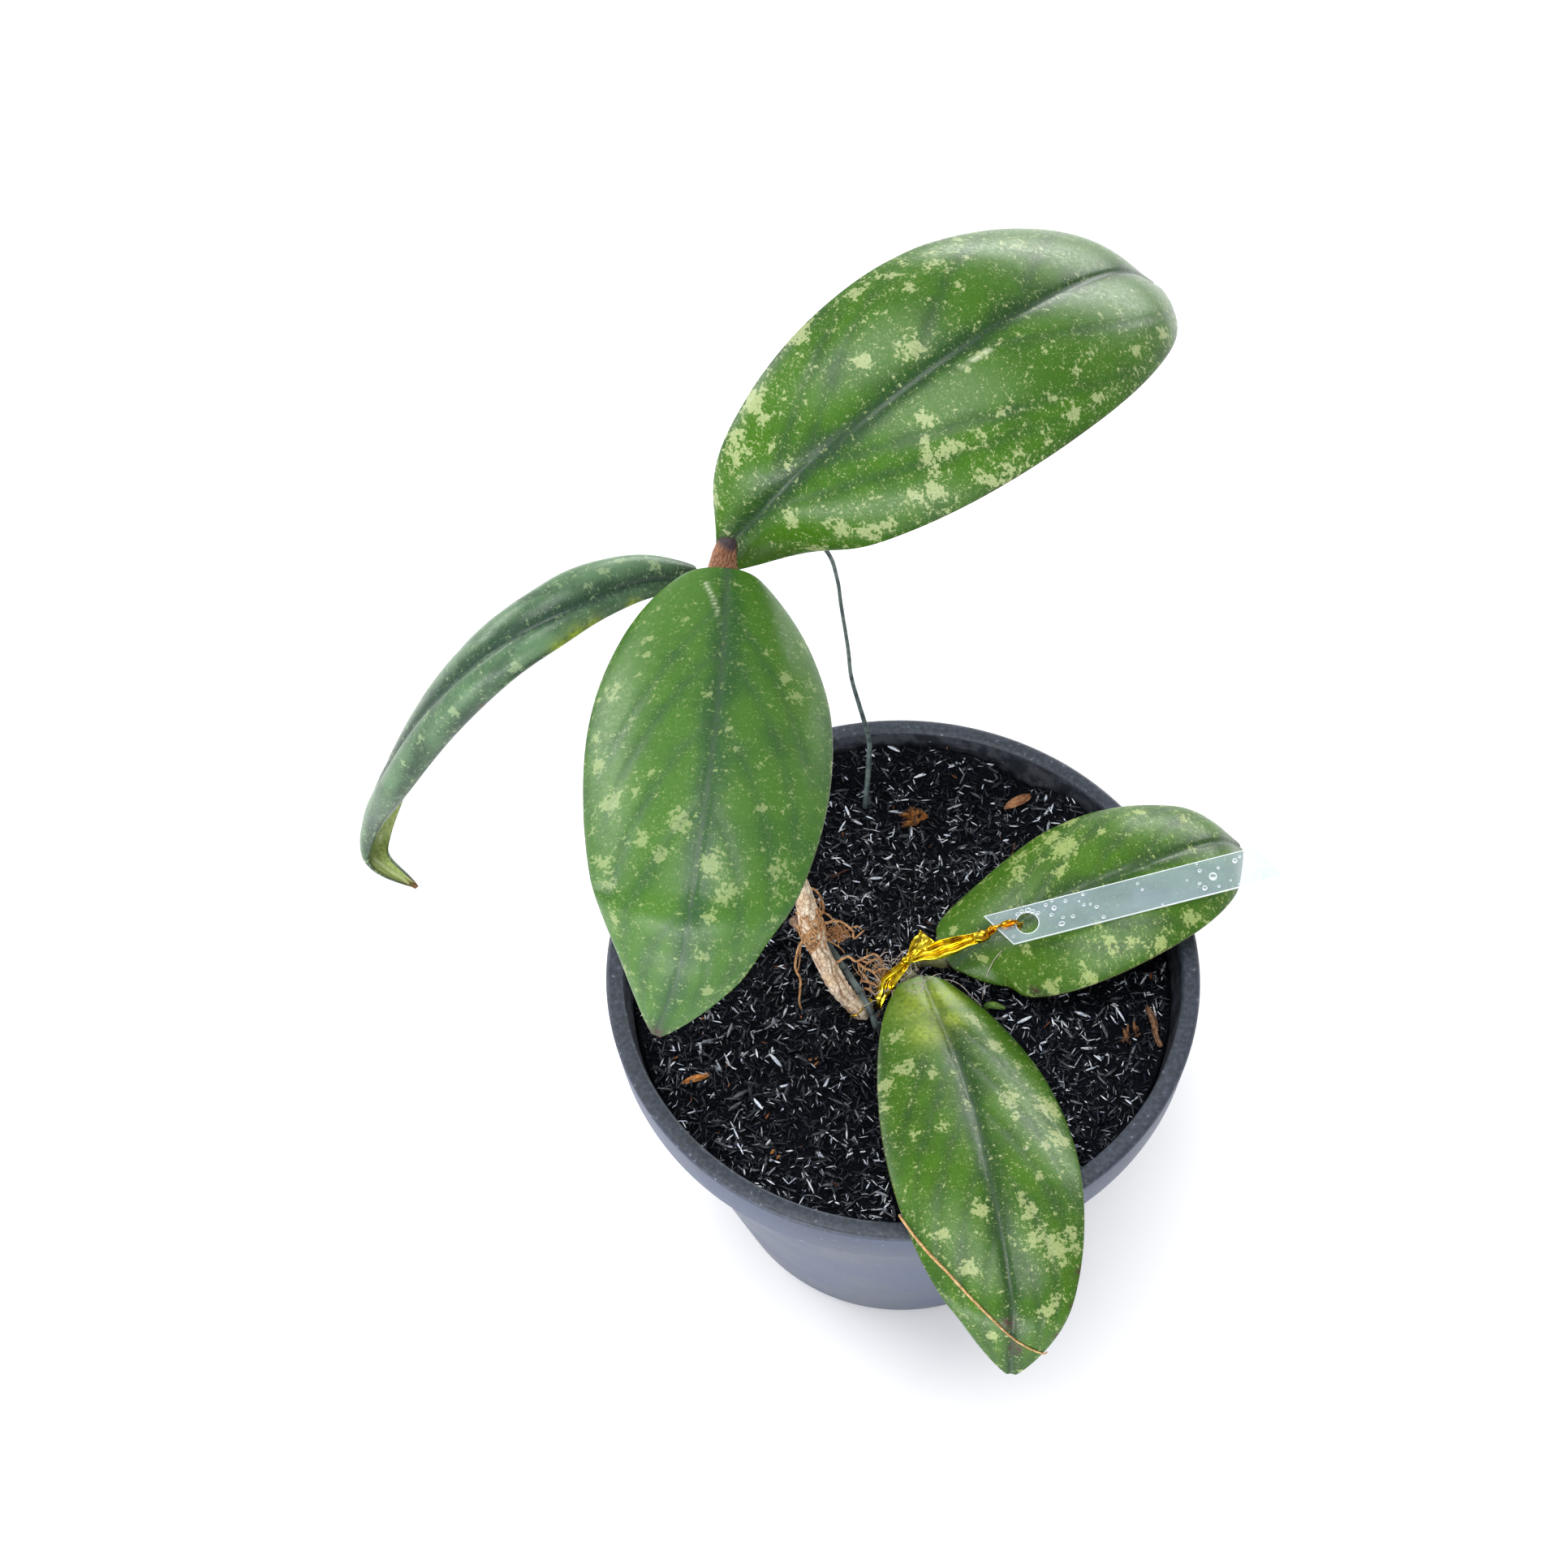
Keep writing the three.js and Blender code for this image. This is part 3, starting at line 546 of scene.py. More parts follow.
def makeBed():
    b = bed
    top = b["top"]
    edge = wallAt(top) - b["gap"]
    profile = [(edge * i / b["rings"], top) for i in range(b["rings"] + 1)]
    profile += [(wallAt(pot["floor"] + 2) - b["gap"], pot["floor"] + 2)]
    profile += [(pot["footRadius"] - pot["wall"] - 2.4, b["foot"]), (0, b["foot"])]
    bm = turned(profile, b["steps"])
    for vert in bm.verts:
        if vert.co.z > (top - 1) * mm:
            x, y = vert.co.x / mm, vert.co.y / mm
            rough = lumps((x, y, 0), 2.6) + 0.6 * lumps((x, y, 0), 1.1, 3)
            vert.co.z = (surfaceAt(x, y) + b["clump"] * clumpAt(x, y) + b["rough"] * rough) * mm
    piece("husk_bed", bm, [bedMaterial()], ["growing_medium"])


def makeFlakes(kind, material):
    templates = []
    for bend in (-0.5, 0.0, 0.6):
        small = bmesh.new()
        sides, rings = kind["round"]
        bmesh.ops.create_uvsphere(small, u_segments=sides, v_segments=rings, radius=1,
                                  matrix=Matrix.Rotation(math.pi / 2, 4, "Y"))
        for vert in small.verts:
            x, y, z = vert.co
            vert.co = (x, y * (1 - 0.35 * x * x) + bend * 0.35 * x * x, z * 0.35 + kind["cup"] * y * y)
        small.verts.layers.float.new("tone")
        store = bpy.data.meshes.new("flake")
        small.to_mesh(store)
        small.free()
        templates.append(store)
    bm = bmesh.new()
    for i in range(kind["count"]):
        radius = bed["flakeReach"] * math.sqrt(random.random())
        angle = random.uniform(0, math.tau)
        half = random.uniform(*kind["length"]) / 2
        across = half * random.uniform(*kind["width"])
        radius = min(radius, bed["flakeLimit"] - half)
        x, y = radius * math.cos(angle), radius * math.sin(angle)
        tilt = random.gauss(0, kind["tilt"])
        rise = half * abs(math.sin(tilt)) * 0.5 + kind["rise"] * random.random() ** 1.6 - 0.1
        turn = Matrix.Rotation(random.uniform(0, math.tau), 4, "Z") @ Matrix.Rotation(tilt, 4, "Y")
        turn = turn @ Matrix.Rotation(random.gauss(0, 0.6) + random.choice((0, math.pi)), 4, "X")
        size = Matrix.Diagonal((half * mm, across * mm, across * 0.8 * mm, 1))
        store = templates[i % len(templates)]
        clump = clumpAt(x, y)
        rise += bed["clump"] * clump
        # painted light and shade: where the heaps rise more flakes are grey or pale, and in the hollows more
        # are dark
        chance = 100 * random.random() / clamp(1 + 1.1 * clump, 0.4, 1.6)
        if chance < kind["pale"]:
            tone = random.uniform(0.8, 1.1)
        elif chance < kind["pale"] + kind["grey"]:
            tone = random.uniform(0.4, 0.78)
        else:
            tone = random.uniform(0, 0.48) if i % bed["brownEvery"] else 2.0
        place = Matrix.Translation(Vector((x, y, surfaceAt(x, y) + rise)) * mm) @ turn @ size
        store.attributes["tone"].data.foreach_set("value", [tone] * len(store.vertices))
        store.transform(place)
        bm.from_mesh(store)
        store.transform(place.inverted())
    piece(kind["name"], bm, [material], ["growing_medium"])
    for store in templates:
        bpy.data.meshes.remove(store)


makeBed()
huskBlack = flakeMaterial()
for kind in flakes:
    makeFlakes(kind, huskBlack)
print("bed and flakes made")


# Leaves: spine is the midrib's line from base to tip, side the direction of the right half, and reach the
# greatest half widths left and right. shape is the outline's exponents at base and tip, base how blunt it
# starts and how far its lobes reach back, corner one more lobe on the right. belly widens the right half
# near the tip, tuck narrows the left one at the base, and heel draws the midrib back there. roll turns the
# blade about the midrib from base to tip, fold is its slope at the midrib and at both margins, in degrees,
# and wave its ripple. stalk, keel and radii are the stalk and how it runs out under the blade. veins give
# where the side veins leave the midrib and how far they climb, left and right, and ribWidth the groove over
# the midrib. splashes and marks are spots: s along the leaf from 0 to 1, v across it from -1 to 1, and a
# radius. dusting is the fine specks towards the margin, paleBase lightens the base, crease paints shade on
# the left leaf, beside its folded midrib on one half and towards the margin on the other, and rib is the
# colour of veins.
blade = dict(midrib=1.3, margin=0.8, blunt=0.004, rows=200, across=92, spotEdge=1.25)
plainLeaf = dict(corner=0, belly=0.0, tuck=0.0, heel=0.0, crease=0.0)
leaves = {
    "leaf_upper": dict(
        name="upper_leaf",
        spine=[(-36, 55.3, 211.2), (-20.8, 55.3, 231.2), (3.5, 64.7, 247.3), (30.4, 80.7, 252.7),
               (56.4, 102.4, 242.8), (70.2, 116.9, 224.6)],
        side=(0.6, -0.8, 0), reach=(30.3, 32), shape=(0.66, 0.61), base=(0.02, 2.5),
        roll=(-31.2, -2.3), fold=(18.2, -39.6, -39.6),
        stalk=[(-39.6, 51.6, 192), (-38.4, 54.2, 198.5), (-37, 55.4, 205.5), (-36.2, 55.5, 210.6)],
        keel=[(0.016, 2.6), (0.05, 2.4), (0.13, 1.9), (0.24, 1.4)],
        radii=[4.3, 4.1, 3.5, 2.7, 2, 1.6, 1.3, 0.9], corner=5,
        veins=[((0.12, 0.2, 0.4, 0.6), 0.2, 0.15), ((0.08, 0.2, 0.48), 0.35, 0.25)],
        wave=0.22, ribWidth=1.7, tuck=0.5, heel=0.6, dusting=0.3, paleBase=0.3,
        splashes=[(0.36, -0.35, 3), (0.43, -0.22, 4), (0.42, -0.85, 3), (0.48, -0.62, 2), (0.48, -0.8, 2),
                  (0.54, -0.68, 2), (0.54, -0.42, 1.5), (0.55, -0.18, 1), (0.58, -0.1, 0.8), (0.5, 0.12, 1.4),
                  (0.53, 0.14, 1.5), (0.56, 0.16, 1.3), (0.47, 0.17, 1.2), (0.38, 0.28, 3), (0.36, 0.4, 2),
                  (0.36, 0.55, 4), (0.39, 0.57, 2.5), (0.43, 0.6, 2), (0.47, 0.55, 1.5), (0.33, 0.75, 4),
                  (0.3, 0.72, 3), (0.4, 0.85, 3), (0.41, 0.93, 3), (0.44, 0.93, 3), (0.55, 0.68, 1.5),
                  (0.56, 0.85, 2.5), (0.61, 0.85, 2), (0.21, 0.83, 4), (0.18, 0.65, 4), (0.24, 0.83, 2.5),
                  (0.11, 0.85, 4), (0.13, 0.3, 3), (0.2, -0.85, 5), (0.14, -0.75, 5), (0.18, -0.4, 2),
                  (0.18, -0.15, 1.5), (0.06, -0.8, 3), (0.31, -0.93, 4), (0.3, -0.6, 1.5), (0.8, 0.8, 3),
                  (0.7, 0.38, 1), (0.63, 0.1, 1), (0.58, 0.35, 1.5), (0.6, 0.6, 1.5), (0.72, -0.45, 1),
                  (0.68, -0.55, 1), (0.62, -0.85, 2), (0.72, 0.75, 2)],
        marks={"white": [(0.75, -0.05, 0.5), (0.465, 0.12, 0.5), (0.475, 0.125, 0.6), (0.485, 0.13, 0.7),
                         (0.495, 0.135, 0.7), (0.505, 0.14, 0.7), (0.515, 0.145, 0.6)],
               "purple": [(0.004, 0, 3)]},
        dark=rgb(26, 60, 20), light=rgb(54, 96, 8), pale=rgb(152, 164, 114),
        rib=rgb(38, 60, 42)),
    "leaf_left": dict(
        name="left_leaf",
        spine=[(-45, 53.4, 202.6), (-57.6, 47.6, 208.6), (-74.4, 37.5, 212.6), (-91.6, 32.5, 206.1),
               (-108.2, 31.4, 188.1), (-122.5, 31.6, 164), (-131.6, 36.3, 140.3), (-134.4, 34.8, 123.4),
               (-122, 25.3, 120.7)],
        side=(0, 1, 0), reach=(13, 16.6), shape=(0.49, 0.65), base=(0.02, 1.5),
        roll=(44.3, -45.5), fold=(23.1, -140.2, -103.6),
        stalk=[(-40.6, 48.6, 187), (-45, 49.4, 190.5), (-46.8, 51, 196)],
        keel=[(0.03, 2.1), (0.1, 1.7), (0.2, 1.2)],
        radii=[2.4, 2.3, 1.9, 1.5, 1.2, 0.8],
        veins=[((0.1, 0.25, 0.42, 0.6), 0.15, 0.1), ((0.1, 0.25, 0.42, 0.6), 0.2, 0.15)],
        wave=0.08, ribWidth=1.3, dusting=0.2, paleBase=0.0,
        splashes=[(0.2, 0.5, 1.6), (0.3, -0.5, 2.4), (0.16, 0.25, 1), (0.36, 0.5, 1.8), (0.06, 0.4, 2),
                  (0.1, 0.6, 2), (0.13, 0.45, 1.5), (0.42, -0.5, 2), (0.5, -0.4, 1.6), (0.56, -0.4, 1.5)],
        marks={"yellow": [(0.1, -0.5, 2), (0.17, -0.6, 3), (0.2, -0.64, 3.6), (0.23, -0.68, 3)],
               "purple": [(0.28, -0.86, 2), (0.39, -0.88, 1.8)], "dry": [(1.0, 0, 3)]},
        # painted sheen: these greens are bluer and lighter than the other leaves' for the bluish-grey sheen
        # on this leaf, and the dark rib is partly painted shade along the crease
        dark=rgb(36, 60, 42), light=rgb(82, 112, 80), pale=rgb(126, 146, 108),
        rib=rgb(34, 54, 44), crease=0.5),
    "leaf_centre": dict(
        name="centre_leaf",
        spine=[(-36.3, 46.2, 213.9), (-39.9, 3.6, 218), (-46.3, -35.1, 213), (-50.7, -46.9, 198.7),
               (-57.5, -53.2, 180.5)],
        side=(-1, 0, 0), reach=(27.3, 32.2), shape=(0.53, 0.75), base=(0.03, 0.5),
        roll=(9.8, -16), fold=(-0.4, -40.5, -40.5),
        stalk=[(-39.2, 46.4, 187), (-38.8, 44.4, 194), (-37.4, 44.8, 204), (-36.8, 46, 209.6)],
        keel=[(0.03, 2.3), (0.1, 1.9), (0.2, 1.3)],
        radii=[2.6, 2.5, 2.2, 1.7, 1.6, 1.3, 0.9],
        veins=2 * [((0.08, 0.2, 0.36, 0.52, 0.7), 0.3, 0.2)],
        wave=0.2, ribWidth=1.0, belly=0.08, heel=0.3, dusting=0.16, paleBase=0.4,
        splashes=[(0.25, -0.55, 2), (0.28, -0.65, 2.5), (0.2, -0.4, 1), (0.14, -0.85, 2), (0.38, -0.1, 1.5),
                  (0.42, -0.17, 2), (0.31, 0.08, 1.5), (0.13, 0.35, 1.5), (0.16, 0.65, 2), (0.2, 0.6, 1.5),
                  (0.27, 0.8, 3), (0.35, 0.6, 1), (0.37, 0.88, 2), (0.43, 0.85, 3), (0.52, 0.72, 4),
                  (0.5, 0.5, 2), (0.47, 0.4, 1.5), (0.6, 0.45, 3), (0.57, 0.17, 4), (0.63, 0.3, 2.5),
                  (0.64, 0.82, 4), (0.7, 0.75, 3), (0.64, -0.12, 4), (0.68, -0.32, 3.5), (0.63, -0.7, 3.5),
                  (0.53, -0.45, 1.5), (0.8, -0.25, 2), (0.73, -0.2, 2), (0.87, -0.55, 2), (0.8, 0.75, 2)],
        marks={"white": [(0.04, 0.26, 0.5), (0.048, 0.23, 0.5), (0.056, 0.2, 0.5), (0.064, 0.17, 0.5),
                         (0.073, 0.145, 0.5), (0.082, 0.12, 0.5), (0.091, 0.1, 0.45), (0.1, 0.085, 0.45),
                         (0.11, 0.07, 0.4), (0.12, 0.06, 0.4), (0.13, 0.05, 0.35), (0.14, 0.045, 0.35)],
               "purple": [(1.0, 0, 3)]},
        dark=rgb(36, 75, 34), light=rgb(63, 104, 32), pale=rgb(132, 150, 96),
        rib=rgb(58, 80, 58)),
    "leaf_front": dict(
        name="front_leaf",
        spine=[(5.8, -4.3, 107.2), (12.7, -37.5, 114.6), (15.5, -68.7, 121.6), (17.1, -93.6, 118.1),
               (16.4, -105.1, 102.3)],
        side=(-1, 0, 0), reach=(23.2, 23.8), shape=(0.62, 0.7), base=(0.04, 0.6),
        roll=(14.3, -10.6), fold=(11.8, -27.8, -27.8),
        stalk=[(1.2, 1.6, 102.6), (2.6, -0.8, 103.6)],
        keel=[(0.03, 2), (0.1, 1.7), (0.2, 1.2)],
        radii=[1.5, 1.5, 1.5, 1.2, 0.8],
        veins=2 * [((0.06, 0.2, 0.35, 0.5, 0.66), 0.35, 0.15)],
        wave=0.18, ribWidth=1.2, heel=1.8, dusting=0.1, paleBase=1.0,
        splashes=[(0.13, -0.5, 3), (0.21, -0.55, 3), (0.36, -0.42, 4), (0.41, -0.42, 2), (0.38, -0.8, 5),
                  (0.47, -0.8, 4), (0.49, -0.65, 2), (0.15, 0.75, 3), (0.24, 0.65, 4), (0.27, 0.92, 4),
                  (0.33, 0.93, 2), (0.27, 0.35, 2), (0.43, 0.65, 2), (0.27, 0.1, 1.5), (0.36, 0.05, 1.5),
                  (0.42, 0.35, 2), (0.63, 0.17, 3), (0.75, 0.45, 3), (0.67, 0.65, 3), (0.61, -0.3, 2),
                  (0.71, -0.4, 4), (0.73, -0.65, 5), (0.65, -0.35, 3), (0.84, -0.6, 3), (0.7, -0.82, 3),
                  (0.9, 0.4, 2), (0.57, -0.5, 1.5)],
        marks={"yellow": [(0.07, 0.35, 8), (0.05, -0.3, 6), (0.15, 0.3, 6), (0.12, -0.2, 4)],
               "white": [(0.5, -0.42, 0.5)],
               "purple": [(0.87, 0.1, 2), (0.93, -0.1, 2), (0.78, -0.97, 1.2), (0.84, -0.97, 1),
                          (0.9, -0.95, 1.2)]},
        dark=rgb(28, 62, 18), light=rgb(58, 98, 10), pale=rgb(152, 164, 110),
        rib=rgb(54, 74, 54)),
    "leaf_right": dict(
        name="right_leaf",
        spine=[(14.4, 0.6, 107.8), (22.9, 6, 109.8), (42.2, 10.4, 119.5), (63.4, 16, 124.6),
               (82.5, 24.1, 119.4), (92.3, 30.1, 106.7)],
        side=(0.2, -1, 0), reach=(28, 24.8), shape=(0.47, 0.72), base=(0.01, 0.5),
        roll=(7.9, 3.3), fold=(5.5, -34.2, -34.2),
        stalk=[(1.2, 3, 102.8), (6, 3.6, 103.8), (11, 2, 105.2)],
        keel=[(0.03, 2.2), (0.1, 1.8), (0.2, 1.2)],
        radii=[1.5, 1.5, 1.5, 1.4, 1.2, 0.8],
        veins=2 * [((0.08, 0.22, 0.4, 0.56), 0.35, 0.15)],
        wave=0.08, ribWidth=1.2, heel=1.8, dusting=0.28, paleBase=0.2,
        splashes=[(0.25, -0.8, 4), (0.24, -0.55, 4), (0.4, -0.55, 6), (0.37, -0.8, 4), (0.36, -0.3, 3),
                  (0.44, -0.95, 4), (0.52, -0.55, 2), (0.68, -0.75, 2.5), (0.78, -0.5, 2.5), (0.73, 0, 1.5),
                  (0.4, 0.7, 3), (0.4, 0.45, 2), (0.32, 0.9, 3), (0.22, 0.9, 3), (0.2, 0.4, 2),
                  (0.52, 0.9, 3), (0.62, 0.85, 3), (0.46, 0.75, 2), (0.06, -0.5, 1.5), (0.06, 0.3, 2)],
        marks={"purple": [(0.17, 0.9, 1.5), (0.42, 0.8, 0.6)]},
        dark=rgb(30, 62, 18), light=rgb(58, 98, 10), pale=rgb(148, 164, 100),
        rib=rgb(54, 76, 50)),
}


def splashedPattern():
    # the leaf's colouring: green that darkens along the veins and, where a leaf has a crease, with painted
    # shade, pale splashes with soft halos, fine dust
    made, given, result = group(
        "splashed pattern",
        [("Place", "v"), ("Splash", "f"), ("Shade", "f"), ("Vein", "f"), ("Dark", "c"), ("Light", "c"),
         ("Pale", "c"), ("Rib", "c")],
        [("Colour", "c"), ("Pale mask", "f"), ("Height", "f")])
    place = given["Place"]

    def texture(scale, detail, roughness=0.6):
        return noisy(made, place, scale, detail, roughness)

    broad, blotch, crumb, dust, grain = (texture(0.9, 3.0), texture(3.2, 4.0, 0.56), texture(9.5, 4.0),
                                         texture(20.0, 3.0), texture(40.0, 3.0))
    shade = calc(made, "ADD", given["Shade"], ramp(made, broad, 0.35, 0.65, -0.1, 0.26))
    base = tint(made, ramp(made, shade, 0.0, 1.0), given["Light"], given["Dark"])
    base = tint(made, ramp(made, grain, 0.45, 0.7, 0.0, 0.25), base, given["Light"])
    value = calc(made, "ADD", calc(made, "MULTIPLY", blotch, 0.46), calc(made, "MULTIPLY", crumb, 0.54))
    value = calc(made, "MULTIPLY_ADD", given["Splash"], 0.19, value)
    halo = ramp(made, value, 0.54, 0.62, 0.0, 0.16)
    body = calc(made, "MULTIPLY", ramp(made, value, 0.602, 0.628), ramp(made, dust, 0.34, 0.5, 0.55, 1.0))
    flecks = calc(made, "MULTIPLY", ramp(made, dust, 0.585, 0.615), ramp(made, value, 0.46, 0.59, 0.12, 0.9))
    cells = add(made, "TexVoronoi", {"Vector": place, "Scale": 5.0})
    chosen = ramp(made, add(made, "SeparateColor", {"Color": cells.outputs["Color"]}).outputs[0], 0.6, 0.66)
    dots = calc(made, "MULTIPLY", ramp(made, cells.outputs["Distance"], 0.15, 0.1), chosen)
    mask = calc(made, "MAXIMUM", body, calc(made, "MAXIMUM", flecks, calc(made, "MULTIPLY", dots, 0.7)))
    mask = calc(made, "MAXIMUM", mask, halo)
    paled = tint(made, calc(made, "MULTIPLY", mask, 0.85), base, given["Pale"])
    worn = calc(made, "MULTIPLY", given["Vein"], ramp(made, crumb, 0.58, 0.46, 0.3, 0.9))
    coloured = tint(made, worn, paled, given["Rib"])
    put(made, result["Colour"], coloured)
    put(made, result["Pale mask"], mask)
    put(made, result["Height"], calc(made, "MULTIPLY_ADD", body, 0.1, grain))
    return made


leafGroup = splashedPattern()


def leafMaterial(leaf):
    material, tree, shader = finish(leaf["name"], Specular_IOR_Level=0.31)
    place = skinPlace(tree)
    drawn = add(tree, "Attribute", attribute_name="pattern").outputs
    pattern = add(tree, "SeparateColor", {"Color": drawn["Color"]}).outputs
    marks = add(tree, "SeparateColor",
                {"Color": add(tree, "Attribute", attribute_name="marks").outputs["Color"]}).outputs
    dry = painted(tree, "dry")
    under = painted(tree, "under")
    splashed = add(tree, "Group", node_tree=leafGroup)
    for name, value in (("Place", place), ("Splash", pattern[0]), ("Shade", pattern[2]), ("Vein", pattern[1]),
                        ("Dark", leaf["dark"]), ("Light", leaf["light"]), ("Pale", leaf["pale"]),
                        ("Rib", leaf["rib"])):
        put(tree, splashed.inputs[name], value)
    colour = splashed.outputs["Colour"]
    fine = noisy(tree, place, 9.0, 5.0)
    back = tint(tree, ramp(tree, fine, 0.3, 0.7), rgb(112, 132, 70), rgb(146, 160, 98))
    back = tint(tree, calc(tree, "MULTIPLY", pattern[1], 0.5), back, rgb(150, 160, 110))
    colour = tint(tree, under, colour, back)
    yellow = calc(tree, "MULTIPLY", marks[0], ramp(tree, fine, 0.35, 0.6, 0.5, 1.0))
    colour = tint(tree, calc(tree, "MULTIPLY", yellow, 0.85), colour, rgb(148, 168, 50))
    purple = calc(tree, "MULTIPLY", marks[1], ramp(tree, fine, 0.4, 0.55, 0.2, 1.0))
    colour = tint(tree, purple, colour, rgb(66, 30, 40))
    colour = tint(tree, calc(tree, "MULTIPLY", marks[2], 0.7), colour, rgb(208, 214, 184))
    colour = tint(tree, drawn["Alpha"], colour, rgb(78, 54, 46))
    colour = tint(tree, dry, colour, rgb(120, 84, 52))
    put(tree, shader.inputs["Base Color"], colour)
    put(tree, shader.inputs["Roughness"], ramp(tree, fine, 0.3, 0.7, 0.26, 0.4))
    bumped(tree, shader, splashed.outputs["Height"], 0.00002)
    return material


def stalkMaterial(name, low, high):
    material, tree, shader = finish(name, Roughness=0.6)
    place = skinPlace(tree)
    stretched = add(tree, "Mapping", {"Vector": place, "Scale": (9.0, 2.5, 1.0)}).outputs[0]
    streak = noisy(tree, stretched, 3.0, 5.0)
    colour = tint(tree, ramp(tree, streak, 0.35, 0.65), low, high)
    ring = painted(tree, "ring")
    colour = tint(tree, ring, colour, rgb(44, 26, 34))
    put(tree, shader.inputs["Base Color"], colour)
    bumped(tree, shader, streak, 0.0004)
    return material


def outline(leaf, s):
    # half width over the greatest half width at s
    a, b = leaf["shape"]
    start = leaf["base"][0]
    peak = a / (a + b)
    greatest = peak ** a * (1 - peak) ** b
    t = (s + start) / (1 + start + blade["blunt"])
    return t ** a * (1 - t) ** b / greatest


def midrib(leaf, line, s):
    tangent = tangentAt(line, s, 0.03)
    side = Vector(leaf["side"])
    side = (side - tangent * tangent.dot(side)).normalized()
    normal = side.cross(tangent)
    roll = math.radians(mix(*leaf["roll"], s))
    right = side * math.cos(roll) + normal * math.sin(roll)
    up = normal * math.cos(roll) - side * math.sin(roll)
    return pointAt(line, s), tangent, right, up


def section(low, high, v):
    # across one half of a blade of unit half width: how far out and up at v, and the slope there
    first = math.radians(low)
    gain = math.radians(high - low)
    slope = first + gain * v
    return (math.sin(slope) - math.sin(first)) / gain, (math.cos(first) - math.cos(slope)) / gain, slope


def veinAt(leaf, s, v, half, length):
    # how strongly a side vein shows at this place, as a line and as the broad shade along it
    starts, rise, curve = leaf["veins"][1 if v > 0 else 0]
    width = abs(v)
    found = shade = 0.0
    climb = length * (rise + 2 * curve * width)
    lean = half / math.hypot(half, climb)
    for start in starts:
        away = abs(s - start - rise * width - curve * width * width) * length * lean
        found = max(found, math.exp(-(away / 0.9) ** 2))
        shade = max(shade, math.exp(-(away / 2.4) ** 2))
    fade = smooth(0.97, 0.7, width)
    return found * (1 - 0.6 * width) * fade, shade * fade


def spotAt(spots, s, v, half, length):
    # the strongest of these spots here, from 0 to 1
    found = 0.0
    for spotS, spotV, radius in spots:
        away = math.hypot((s - spotS) * length, (v - spotV) * half) / radius * blade["spotEdge"]
        if away < 2:
            found = max(found, math.exp(-away * away))
    return found


